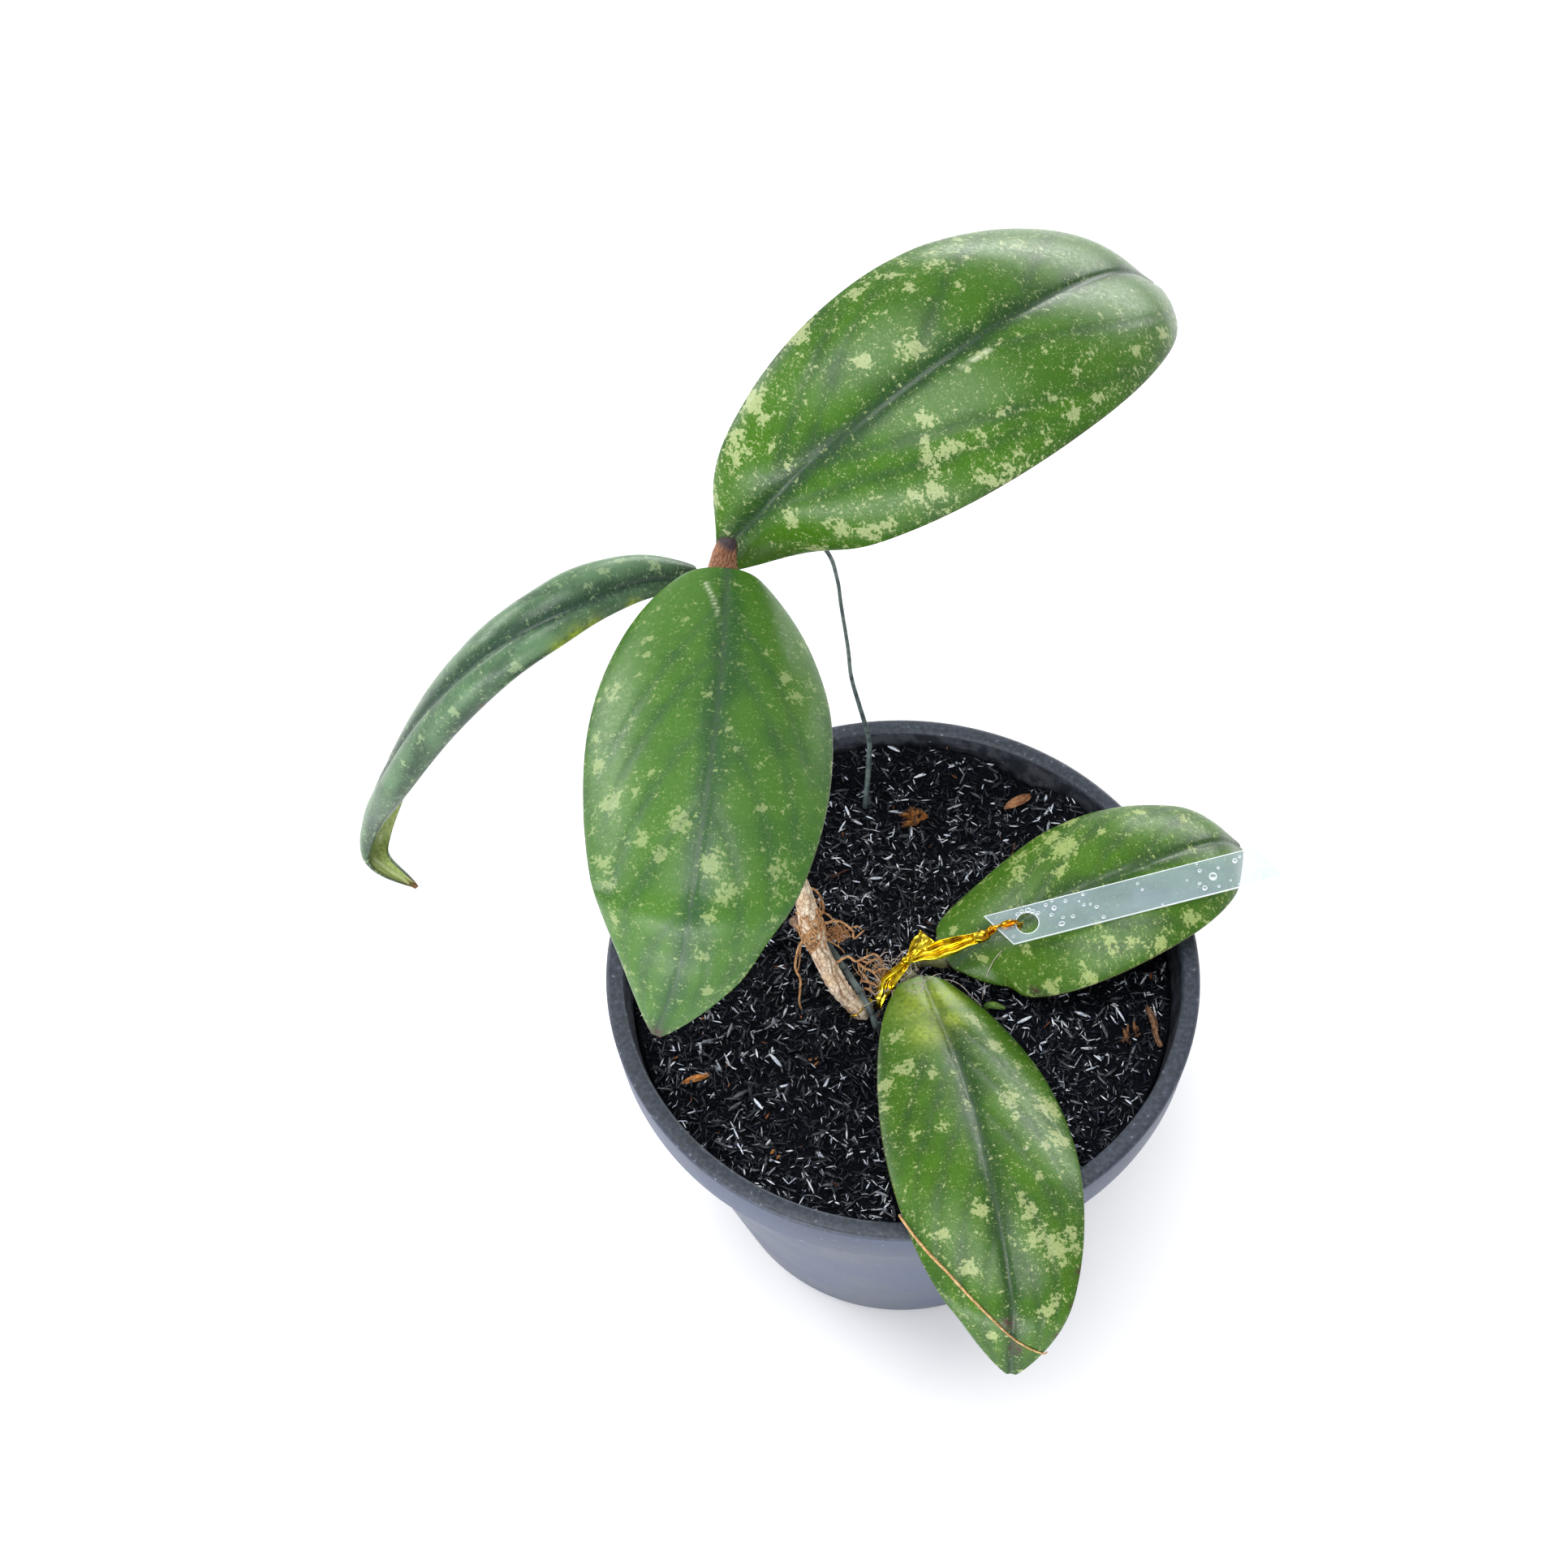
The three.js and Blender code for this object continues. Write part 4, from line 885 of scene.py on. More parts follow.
def makeLeaf(node, leaf):
    line = route(leaf["spine"])
    length = line[1][-1]
    rows, columns = blade["rows"], blade["across"]
    frames = []
    for i in range(rows + 1):
        even = i / rows
        s = mix(even, 0.5 - 0.5 * math.cos(math.pi * even), 0.7)  # rows crowd towards base and tip
        near = [spot for spot in leaf["splashes"] if abs(spot[0] - s) * length < 2 * spot[2]]
        frames.append((s, midrib(leaf, line, s), outline(leaf, s), near))
    bm = bmesh.new()
    bmesh.ops.create_grid(bm, x_segments=2 * columns, y_segments=rows, size=0.5)
    pattern = bm.verts.layers.float_color.new("pattern")
    marks = bm.verts.layers.float_color.new("marks")
    dryness = bm.verts.layers.float.new("dry")
    underside = bm.verts.layers.float.new("under")
    tones = ("yellow", "purple", "white", "dry")
    places = {}
    for vert in bm.verts:
        u, even = vert.co.x + 0.5, vert.co.y + 0.5
        s, (centre, tangent, right, up), share, near = frames[round(even * rows)]
        below = u > 0.5
        v = math.cos(math.tau * (u - 0.5)) if below else -math.cos(math.tau * u)
        hand = 1 if v > 0 else -1
        width = abs(v)
        half = leaf["reach"][1 if v > 0 else 0] * share
        if v > 0:
            half *= 1 + leaf["belly"] * math.exp(-((s - 0.82) / 0.1) ** 2)
        else:
            half *= 1 - leaf["tuck"] * math.exp(-s / 0.02)
        out, rise, slope = section(leaf["fold"][0], leaf["fold"][2 if v > 0 else 1], width)
        lobe = leaf["base"][1] * max(0, 1 - s / 0.2) ** 2 * math.sin(math.pi * width)
        if v > 0:
            lobe += leaf["corner"] * math.exp(-((width - 0.95) / 0.25) ** 2) * max(0, 1 - s / 0.09) ** 2
        place = centre + right * (hand * half * out) + up * (half * rise) - tangent * lobe
        normal = up * math.cos(slope) - right * (hand * math.sin(slope))
        vein, veinShade = veinAt(leaf, s, v, half, length)
        rib = math.exp(-(width * half / mix(leaf["ribWidth"], 0.6, smooth(0, 0.8, s))) ** 2)
        thick = mix(blade["midrib"], blade["margin"], width) / 2
        full = math.sqrt(max(0.0, 1 - width ** 24))
        back = leaf["heel"] * math.exp(-(width * half / 3.2) ** 2) * max(0, 1 - s / 0.06) ** 2
        wave = leaf["wave"] * lumps((s * length, hand * 40, 0), 17, 5) * smooth(0.55, 1, width)
        wave += 0.16 * leaf["wave"] * lumps((s * length, v * half, 0), 7, 2)
        if below:
            raised = -thick - thick * full - 0.25 * vein
        else:
            raised = -thick + thick * full - 0.14 * vein - 0.4 * rib * smooth(0, 0.06, s)
        vert.co = (place - tangent * back + normal * (raised + wave)) * mm
        run, out = s * length, v * half
        dusting = 0.8 * leaf["dusting"] * smooth(0.25, 0.95, width) + 0.25 * lumps((run, out, 0), 9, 3)
        splash = max(spotAt(near, s, v, half, length), dusting)
        # painted shade where crease is set: on the left leaf the upper half darkens beside the folded midrib
        # and the lower half towards its margin
        beside = 0.8 * math.exp(-(out / mix(5, 3, s)) ** 2) * (1 - leaf["crease"] * (v < 0))
        beside += 0.8 * leaf["crease"] * math.exp(-max(0, out) / 2.0) * (v > 0)
        shade = max(0.36 * veinShade, beside) + 0.4 * smooth(0.75, 1, width)
        shade += leaf["crease"] * smooth(0.3, 0.85, width) * (v < 0)
        shade -= leaf["paleBase"] * math.exp(-(s / 0.09) ** 2)
        vert[pattern] = (splash, max(vein * 0.4, rib), shade, 0.5 * smooth(0.98, 1, width))
        shown = leaf["marks"]
        yellow, purple, white, dry = (spotAt(shown.get(tone, ()), s, v, half, length) for tone in tones)
        vert[marks] = (yellow, purple, white, 1)
        vert[dryness] = dry
        vert[underside] = 1.0 if below and width < 0.998 else 0.0
        places[vert.index] = (v * half / 10 + 20, s * length / 10)
    layer = bm.loops.layers.uv.new("UVMap")
    for face in bm.faces:
        for loop in face.loops:
            loop[layer].uv = places[loop.vert.index]
    closed(bm)

    keel = []
    for s, depth in leaf["keel"]:
        centre, _, _, up = midrib(leaf, line, s)
        keel.append(tuple(centre - up * depth))
    stalkRoute = leaf["stalk"] + keel
    stalk = tube(stalkRoute, leaf["radii"], 28, 70, knobbly(0.18, 3.0, 3, seed=4))
    ring = stalk.verts.layers.float.new("ring")
    joint = Vector(leaf["stalk"][-1])
    way = (joint - Vector(leaf["stalk"][-2])).normalized()
    for vert in stalk.verts:
        away = vert.co / mm - joint
        vert[ring] = smooth(0.9, 1.6, away.dot(way)) * smooth(6, 4.5, away.length)
    brown = node == "leaf_upper"
    low, high = (rgb(104, 58, 34), rgb(168, 118, 86)) if brown else (rgb(88, 98, 54), rgb(124, 124, 82))
    both = gather([bm, stalk], [0, 1])
    piece(leaf["name"], both, [leafMaterial(leaf), stalkMaterial(leaf["name"] + " stalk", low, high)], [node])


for node, leaf in leaves.items():
    makeLeaf(node, {**plainLeaf, **leaf})
print("leaves made")


# Woody stem with a stub, and the green shoot that the lower leaves stand on.
stem = dict(
    points=[(-7.6, -11, 76), (-8, -10.8, 88), (-10.7, -8.7, 100), (-14, -5.9, 104), (-16.8, -3.5, 108),
            (-19.9, 0.9, 114.5), (-21.8, 4.2, 120.5), (-23.1, 7.3, 128.5), (-24.7, 9.6, 136),
            (-27.6, 14.6, 146), (-31.6, 24.6, 162), (-36, 38, 178), (-39.6, 48.6, 189), (-40.4, 51.6, 194)],
    radii=[1.6, 1.8, 2, 2, 2, 2.2, 2.4, 2.5, 2.4, 3.1, 2.6, 2.4, 2.4, 2.4, 2.5, 2.5, 2.5, 2.6, 2.6, 2.7, 2.8,
           3, 3.7, 4.5, 3.6],
    sides=56, steps=420,
    stub=[(-21.8, 4.2, 120.8), (-24.6, 5.9, 122.2), (-27.4, 7.4, 122.8)], stubRadii=[2.2, 1.9, 1.5],
    shoot=[(-2, 6.5, 76), (-0.4, 4.4, 91), (0.8, 2.7, 101), (1.4, 2, 104.2)], shootRadii=[1.8, 2, 2.3, 2],
)


def fibrousGroup():
    # long streaks and cracks, for bark, roots and husks: x is across, y along
    made, given, result = group(
        "fibrous surface", [("Place", "v"), ("Fineness", "f"), ("Dark", "c"), ("Light", "c"), ("Crack", "c")],
        [("Colour", "c"), ("Height", "f")])
    stretched = add(made, "Mapping", {"Vector": given["Place"], "Scale": (1.0, 0.22, 1.0)}).outputs[0]
    streaks = noisy(made, stretched, given["Fineness"], 6.0, 0.65)
    patches = noisy(made, given["Place"], 3.0, 4.0)
    cells = add(made, "TexVoronoi", {"Vector": given["Place"], "Scale": 7.0},
                feature="DISTANCE_TO_EDGE").outputs[0]
    colour = tint(made, ramp(made, patches, 0.35, 0.65), given["Dark"], given["Light"])
    colour = tint(made, ramp(made, streaks, 0.56, 0.36, 0.0, 0.6), colour, given["Crack"])
    colour = tint(made, ramp(made, cells, 0.06, 0.0, 0.0, 0.5), colour, given["Crack"])
    put(made, result["Colour"], colour)
    put(made, result["Height"], calc(made, "ADD", streaks, ramp(made, cells, 0.0, 0.1, 0.0, 0.5)))
    return made


fibrous = fibrousGroup()


def fibrousMaterial(name, dark, light, crack, fineness=14.0, roughness=0.8, depth=0.0003):
    material, tree, shader = finish(name, Roughness=roughness, Specular_IOR_Level=0.35)
    place = skinPlace(tree)
    surface = add(tree, "Group", node_tree=fibrous)
    values = (("Place", place), ("Fineness", fineness), ("Dark", dark), ("Light", light), ("Crack", crack))
    for socket, value in values:
        put(tree, surface.inputs[socket], value)
    split = painted(tree, "split")
    colour = tint(tree, split, surface.outputs["Colour"], crack)
    put(tree, shader.inputs["Base Color"], colour)
    bumped(tree, shader, surface.outputs["Height"], depth)
    return material


def crackAngle(run):
    # where the long crack runs on the side towards the viewer
    return 0.25 + 0.3 * math.sin(run / 3.1) + 0.14 * math.sin(run / 1.15 + 1)


def barkRelief(run, angle):
    around = (run, 2.4 * math.cos(angle), 2.4 * math.sin(angle))
    plates = 0.2 * lumps(around, 3.2) + 0.1 * lumps(around, 1.1, 6)
    scaly = smooth(46, 34, run) * 0.24 * abs(math.sin(run * 1.5 + 0.8 * math.sin(angle + run / 3)))
    away = math.atan2(math.sin(angle - crackAngle(run)), math.cos(angle - crackAngle(run)))
    crack = -0.28 * math.exp(-(away / 0.09) ** 2) * smooth(30, 34, run) * smooth(56, 50, run)
    return plates + scaly + crack


def makeStem():
    bark = fibrousMaterial("tan bark", rgb(214, 186, 154), rgb(242, 226, 204), rgb(120, 80, 54), 9.0)
    trunk = tube(stem["points"], stem["radii"], stem["sides"], stem["steps"], barkRelief)
    layer = trunk.loops.layers.uv.active
    split = trunk.verts.layers.float.new("split")
    girth = math.tau * sum(stem["radii"]) / len(stem["radii"]) / 10
    for face in trunk.faces:
        for loop in face.loops:
            across, down = loop[layer].uv
            run = down * 10
            away = (across / girth - crackAngle(run) / math.tau + 0.5) % 1 - 0.5
            inRun = smooth(30, 34, run) * smooth(58, 50, run)
            loop.vert[split] = 0.85 * math.exp(-(away / 0.014) ** 2) * inRun
    stub = tube(stem["stub"], stem["stubRadii"], 44, 60, knobbly(0.45, 0.9, 2, 0.6))
    stub.verts.layers.float.new("split")
    dark = fibrousMaterial("stub bark", rgb(112, 84, 70), rgb(172, 142, 120), rgb(60, 40, 34), 16.0)
    piece("woody_stem", gather([trunk, stub], [0, 1]), [bark, dark], ["main_stem"])

    green = fibrousMaterial("green shoot", rgb(94, 104, 58), rgb(132, 132, 84), rgb(92, 70, 56), 16.0)
    shoot = tube(stem["shoot"], stem["shootRadii"], 28, 60, knobbly(0.14, 2.4, 2))
    piece("low_shoot", shoot, [green], ["lower_shoot"])


makeStem()
print("stem and shoot made")


# Roots in the air, thin side fibres, and the fine hairs round the foot of the front leaf.
roots = {
    "root_loop": ([(-23.6, 9, 128.6), (-22.2, 12, 128.8), (-20.6, 12.4, 127.6), (-19.4, 11.2, 125.8),
                   (-18.9, 9.2, 123.6), (-20.6, 6.9, 121.6)], [0.7, 0.6, 0.5, 0.5, 0.5, 0.6]),
    "root_right": ([(-21.4, 5.6, 121), (-17.2, 6.4, 121.8), (-14.6, 7.2, 120), (-11.9, 5.9, 117.5),
                    (-11.5, 4.6, 116), (-8.8, 6.8, 116)], [0.7, 0.55, 0.5, 0.45, 0.4, 0.3]),
    "root_left": ([(-22.4, 5, 119.4), (-25.4, 2.4, 118), (-26.9, -0.5, 112.5), (-25.8, -2.7, 109.5),
                   (-26.4, -5.5, 104), (-26.1, -6.7, 100.9)], [0.8, 0.6, 0.5, 0.5, 0.45, 0.35]),
    "root_low": ([(-17.4, -0.8, 112.6), (-13.6, 0.6, 113.8), (-11.2, -0.3, 112.8), (-7.1, 1.8, 112.2),
                  (-5.3, 1.4, 110.5), (-5, 0.6, 108)], [0.7, 0.5, 0.45, 0.4, 0.35, 0.3]),
}
rootShare = 0.6  # of the radii given above
sideRoots = [  # thin brown fibres: points and radius
    ([(-23.4, 9.4, 127.4), (-21, 10.6, 126.4), (-19.6, 9.8, 124.8), (-20.4, 8, 122.4)], 0.28),
    ([(-19.2, 8.6, 123.2), (-17.6, 8.4, 121.6), (-15.8, 7.4, 119.4), (-13.4, 5.2, 116.6)], 0.26),
    ([(-12.6, 6.4, 118), (-10.6, 7, 117.6), (-9.4, 6.4, 117)], 0.24),
    ([(-19.8, 3.8, 119.4), (-17.4, 3.2, 117.2), (-15.2, 3, 114.4), (-14, 3.6, 110)], 0.22),
    ([(-22.8, 5.2, 118.8), (-25, 3.4, 116.4), (-25.6, 1, 113.2), (-26.4, -1.4, 110.8)], 0.24),
    ([(-11.6, 0, 112.8), (-9.4, -1.6, 111.4), (-7.2, -2, 110), (-5.4, -1.4, 107.6), (-3.8, -2.4, 104)], 0.3),
    ([(-10.8, 0.6, 112.4), (-8.6, -0.4, 112), (-6.6, 0.8, 111.2), (-4.6, 1.6, 109.8)], 0.24),
    ([(-11, 0.4, 112.4), (-10.6, -2, 111), (-8.8, -3.8, 109.4), (-7.8, -5.6, 106)], 0.26),
    ([(-8.6, -1.4, 111), (-6.4, -3.4, 109.6), (-5.2, -5.2, 107), (-4.4, -6, 104)], 0.22),
    ([(-6.6, -2.2, 109.8), (-5.2, -0.6, 108.6), (-3, -0.4, 107.2), (-1.2, -1.4, 105.6)], 0.22),
    ([(-10.4, -3, 107.4), (-8.4, -4.2, 108.4), (-6.6, -4.8, 107), (-5.6, -6.2, 104.4)], 0.3),
    ([(-9.8, -4.4, 106), (-8, -5.6, 106.6), (-6.8, -6.8, 105.2)], 0.34),
]
wrap = dict(count=38, points=7, start=(0.325, 0.385), joint=0.375, spread=0.03, radius=2.4, swelling=0.7,
            thick=(0.14, 0.32))
tangle = dict(count=20, low=(-12, -5.5, 103), high=(-3, 2, 109), lift=0.1, steps=7, step=0.9, turn=0.5,
              radii=[0.13, 0.1, 0.07], rings=22)
paleCurls = dict(count=46, low=(-8, -8, 102), high=(5, 2, 108.5), lift=0.3, steps=9, step=1.0, turn=0.45,
                 radii=[0.11, 0.1, 0.07], rings=26)
longHairs = [
    [(25.7, 0.7, 112), (23.4, -1.4, 110.6), (21.4, -4.4, 108.6), (20.4, -6.8, 105), (20.2, -7.4, 101)],
    [(9, -1, 101), (12, -2, 103), (15, -4, 103.4), (18, -7, 101.6), (20, -9, 100.8)],
    [(2, -5, 108), (4.6, -7.4, 111.4), (4, -9.6, 111.8), (1.6, -8.6, 110.6), (0.4, -6.8, 108.6)],
    [(-2.4, 0, 109), (1, 3, 110.6), (4, 3.4, 108), (5, 2, 103.4)],
]
tuft = dict(count=120, centre=(-15.6, 5.4, 117.2), size=(3.1, 2.1, 1.2), reach=0.8)


def wander(start, way, steps, step, turn):
    # a curling line: each step bends the way a little
    places = [Vector(start)]
    heading = Vector(way).normalized()
    for _ in range(steps):
        heading = (heading + Vector([random.gauss(0, turn) for _ in range(3)])).normalized()
        places.append(places[-1] + heading * step)
        if places[-1].z < 100.6:
            heading.z = abs(heading.z)
            places[-1].z = 100.8
    return [tuple(place) for place in places]


def curls(hairs):
    # curling hairs that start anywhere in a box
    made = []
    for _ in range(hairs["count"]):
        start = [random.uniform(low, high) for low, high in zip(hairs["low"], hairs["high"])]
        way = (random.uniform(-1, 1), random.uniform(-1, 1), hairs["lift"])
        points = wander(start, way, hairs["steps"], hairs["step"], hairs["turn"])
        made.append(tube(points, hairs["radii"], 5, hairs["rings"]))
    return made


def wrappedFibre(stemLine, hand):
    # a fibre that clings round the stem at its joint
    start = random.uniform(*wrap["start"])
    turn = random.uniform(0, math.tau)
    points = []
    for k in range(wrap["points"]):
        s = start + k * random.uniform(0.003, 0.009)
        angle = turn + k * random.uniform(0.04, 0.36) * hand
        swollen = wrap["radius"] + wrap["swelling"] * math.exp(-((s - wrap["joint"]) / wrap["spread"]) ** 2)
        tangent = tangentAt(stemLine, s)
        across = tangent.orthogonal().normalized()
        out = across * math.cos(angle) + tangent.cross(across) * math.sin(angle)
        points.append(tuple(pointAt(stemLine, s) + out * (swollen + random.uniform(-0.05, 0.4))))
    return tube(points, [random.uniform(*wrap["thick"])] * 2, 6, 26)


def driedNet():
    # one thread of the flat patch of dried net
    centre, size = Vector(tuft["centre"]), Vector(tuft["size"])
    angle = random.uniform(0, math.tau)
    reach = math.sqrt(random.random()) * tuft["reach"]
    start = centre + Vector((math.cos(angle) * size.x * reach, math.sin(angle) * size.y * reach,
                             random.uniform(-0.5, 0.5) * size.z))
    way = (math.cos(angle * 3), math.sin(angle * 5), random.uniform(-0.3, 0.3))
    return tube(wander(start, way, 4, 0.55, 0.5), [0.16, 0.12, 0.1], 5, 12)


def makeRoots():
    rootSkin = fibrousMaterial("dry root", rgb(176, 122, 78), rgb(226, 182, 132), rgb(96, 58, 34), 22.0)
    hair = fibrousMaterial("pale root hair", rgb(176, 160, 150), rgb(226, 220, 214), rgb(140, 112, 100), 20.0)
    for node, (points, radii) in roots.items():
        made = tube(points, [radius * rootShare for radius in radii], 14, 110, knobbly(0.13, 1.1))
        piece(node.split("_")[1] + "_root", made, [rootSkin], [node])

    stemLine = route(stem["points"])
    brown = [wrappedFibre(stemLine, 1 if i % 2 else -1) for i in range(wrap["count"])]
    for points, radius in sideRoots:
        brown.append(tube(points, [radius, radius * 0.9, radius * 0.6], 8, 44,
                          lambda run, angle: 0.06 * lumps((run, angle, 0), 0.8)))
    brown += curls(tangle)
    piece("side_roots", gather(brown), [rootSkin], [])

    pale = curls(paleCurls)
    pale += [tube(points, [0.12, 0.1], 6, 40) for points in longHairs]
    piece("root_hairs", gather(pale), [hair], [])

    net = [driedNet() for _ in range(tuft["count"])]
    piece("dry_tuft", gather(net), [rootSkin], ["root_tuft"])


makeRoots()
print("roots made")


# Support hoop of coated wire, both ends in the medium.
wire = dict(
    points=[(-5, -18, 78), (-5.8, -16, 90), (-6.8, -13.9, 98), (-7.5, -12.8, 100.8), (-8.3, -10.9, 103.8),
            (-9.9, -7, 105.4), (-12, -3.3, 106.2), (-14.2, -0.1, 107.8), (-16.3, 2.8, 110.2),
            (-18.7, 5.3, 113.6), (-21.3, 7.9, 117.6), (-23.1, 11.1, 124.4), (-24.9, 13.6, 132.5),
            (-27, 16.7, 139.5), (-29.6, 22.2, 149.7), (-32.4, 29.8, 161.1), (-35.6, 40.2, 172.2),
            (-38.6, 51.8, 180.8), (-38.8, 57.8, 188.6), (-37.8, 60.4, 196), (-36, 62, 202.6),
            (-31.6, 64, 206.8), (-25, 65.4, 207.6), (-18.2, 65, 204), (-12.6, 63.8, 196),
            (-10.6, 63.2, 186), (-10, 62.9, 178), (-8.5, 62.1, 161), (-7.7, 61.1, 149),
            (-3.8, 60.8, 125), (-3.6, 59.2, 116), (-5.2, 53.5, 100), (-5.6, 52, 88)],
    radii=[0.6, 0.85, 0.9, 0.9, 0.85, 0.8, 0.75, 0.7, 0.65, 0.6, 0.5, 0.5, 0.55, 0.65, 0.75, 0.75],
    sides=16, steps=560,
    nicks=(27.5, 33.5, 41, 52, 190, 238, 262), nickWidth=0.35,
    tail=[(-7.6, -12.2, 101.6), (-7.2, -14, 101.4), (-6.9, -15.4, 101.2), (-6.6, -17, 100.4)],
)


def wireMaterial():
    material, tree, shader = finish("coated wire", Roughness=0.42)
    place = objectPlace(tree)
    grime = noisy(tree, place, 420.0, 4.0)
    colour = tint(tree, ramp(tree, grime, 0.35, 0.65), rgb(58, 70, 72), rgb(92, 106, 104))
    colour = tint(tree, painted(tree, "nick"), colour, rgb(24, 26, 28))
    put(tree, shader.inputs["Base Color"], colour)
    bumped(tree, shader, grime, 0.0001)
    return material


def makeWire():
    hoop = tube(wire["points"], wire["radii"], wire["sides"], wire["steps"], knobbly(0.03, 2.0))
    tail = tube(wire["tail"], [0.3, 0.22, 0.12], 8, 30)
    coating = hoop.verts.layers.float.new("nick")
    layer = hoop.loops.layers.uv.active
    for face in hoop.faces:
        for loop in face.loops:
            run = loop[layer].uv.y * 10
            worn = [math.exp(-((run - nick) / wire["nickWidth"]) ** 2) for nick in wire["nicks"]]
            loop.vert[coating] = max(worn)
    dark = tail.verts.layers.float.new("nick")
    for vert in tail.verts:
        vert[dark] = 1.0
    piece("wire_hoop", gather([hoop, tail]), [wireMaterial()], ["support_wire"])


makeWire()
print("wire made")


# Plant label: a blank clear strip on the right leaf, cut aslant, with one punched hole and drops of water.
# highlightRim is how wide the painted highlight runs round the top face and the hole.
label = dict(start=(24.6, 2.1, 119.5), end=(92.6, 10.2, 130.8), across=(6.6, -8.7, 0), thickness=0.4,
             hole=2.8, holeAlong=7.4, highlightRim=0.22)
# Drops of water: along, across and radius of those at the hole, and the runs that the rest are strewn over.
drops = dict(count=40, runs=((11, 26), (11, 66), (48, 66)), across=4.2, radii=(0.3, 0.4, 0.5, 0.7, 1.1),
             gap=0.5, atHole=[(5.6, 2.9, 0.5), (6.8, 3.3, 0.6), (8.4, 3.2, 0.7), (9.4, 2.6, 0.6),
                              (10.6, 1.8, 0.5), (3.2, -2.6, 0.45)])


def labelFrame():
    start = Vector(label["start"])
    lengthwise = Vector(label["end"]) - start
    length = lengthwise.length
    x = lengthwise.normalized()
    cut = Vector(label["across"])
    slant = x.dot(cut) / 2
    y = -(cut - x * x.dot(cut))
    half = y.length / 2
    y.normalize()
    z = x.cross(y)
    turn = Matrix((x, y, z)).transposed().to_4x4()
    return Matrix.Translation(start * mm) @ turn, length, half, slant


def makeLabel():
    frameOf, length, half, slant = labelFrame()
    bm = bmesh.new()
    outer = [(slant, -half), (length + slant, -half), (length - slant, half), (-slant, half)]
    corners = [bm.verts.new((x * mm, y * mm, 0)) for x, y in outer]
    edges = [bm.edges.new((corners[i], corners[(i + 1) % 4])) for i in range(4)]
    hole = bmesh.ops.create_circle(bm, segments=48, radius=label["hole"] * mm,
                                   matrix=Matrix.Translation((label["holeAlong"] * mm, 0, 0)))["verts"]
    edges += dict.fromkeys(edge for vert in hole for edge in vert.link_edges)  # each once, in order
    bmesh.ops.triangle_fill(bm, edges=edges, use_beauty=True)
    raised = bmesh.ops.extrude_face_region(bm, geom=bm.faces[:])["geom"]
    for item in raised:
        if isinstance(item, bmesh.types.BMVert):
            item.co.z += label["thickness"] * mm
    bmesh.ops.recalc_face_normals(bm, faces=bm.faces)
    for face in bm.faces:
        face.material_index = 1 if abs(face.normal.z) < 0.5 else 0
    top = [face for face in bm.faces if face.normal.z > 0.5]
    # painted highlight: a thin band round the top face and the hole gets the near-white edge material
    bmesh.ops.inset_region(bm, faces=top, thickness=label["highlightRim"] * mm, use_even_offset=True)
    inside = set(top)
    for face in bm.faces:
        if face.normal.z > 0.5 and face not in inside:
            face.material_index = 1
    bmesh.ops.translate(bm, verts=bm.verts, vec=(0, 0, -label["thickness"] / 2 * mm))
    bmesh.ops.transform(bm, matrix=frameOf, verts=bm.verts)
    film, tree, shader = finish("frosted clear film", Roughness=0.3, Alpha=0.5)
    place = objectPlace(tree)
    haze = noisy(tree, place, 90.0, 4.0)
    put(tree, shader.inputs["Base Color"], tint(tree, haze, rgb(144, 165, 176), rgb(162, 183, 195)))
    put(tree, shader.inputs["Alpha"], ramp(tree, haze, 0.3, 0.7, 0.25, 0.36))
    # painted highlight: the cut edges are near white for the light they catch
    edge, tree, shader = finish("label edge", Roughness=0.3, Alpha=0.7)
    place = objectPlace(tree)
    edgeGlint = noisy(tree, place, 400.0, 2.0)
    put(tree, shader.inputs["Base Color"], tint(tree, edgeGlint, rgb(214, 224, 234), rgb(250, 252, 255)))
    piece("blank_label", bm, [film, edge], ["plant_label"], smoothed=False)


def makeDrops():
    frameOf = labelFrame()[0]
    water, tree, shader = finish("water drops", Roughness=0.04, Specular_IOR_Level=0.9)
    # painted reflection: the drops are white and grow opaque towards their outlines, for the bright rims that
    # clear water shows
    shader.inputs["Base Color"].default_value = rgb(228, 236, 242)
    rim = add(tree, "LayerWeight", {"Blend": 0.5}).outputs["Facing"]
    put(tree, shader.inputs["Alpha"], ramp(tree, rim, 0.1, 0.5, 0.06, 0.85))
    spots = list(drops["atHole"])
    while len(spots) < drops["count"]:
        x = random.choice([random.uniform(*run) for run in drops["runs"]])
        y, radius = random.uniform(-drops["across"], drops["across"]), random.choice(drops["radii"])
        if all(math.hypot(x - a, y - b) > radius + r + drops["gap"] for a, b, r in spots):
            spots.append((x, y, radius))
    bm = bmesh.new()
    for x, y, radius in spots:
        if math.hypot(x - label["holeAlong"], y) < label["hole"] + radius * 0.4:
            continue
        cut = frameOf @ Matrix.Translation((x * mm, y * mm, (label["thickness"] / 2 + 0.01) * mm))
        size = Matrix.Diagonal((radius * mm * random.uniform(0.9, 1.2), radius * mm, radius * 0.55 * mm, 1))
        ball = bmesh.ops.create_uvsphere(bm, u_segments=20, v_segments=12, radius=1,
                                         matrix=cut @ size)["verts"]
        edges = dict.fromkeys(edge for vert in ball for edge in vert.link_edges)
        faces = dict.fromkeys(face for vert in ball for face in vert.link_faces)
        bmesh.ops.bisect_plane(bm, geom=[*ball, *edges, *faces], plane_co=cut.translation, clear_inner=True,
                               plane_no=frameOf.to_3x3() @ Vector((0, 0, 1)))
    closed(bm, 1e-7)
    piece("water_drops", bm, [water], [])


makeLabel()
makeDrops()
print("label made")


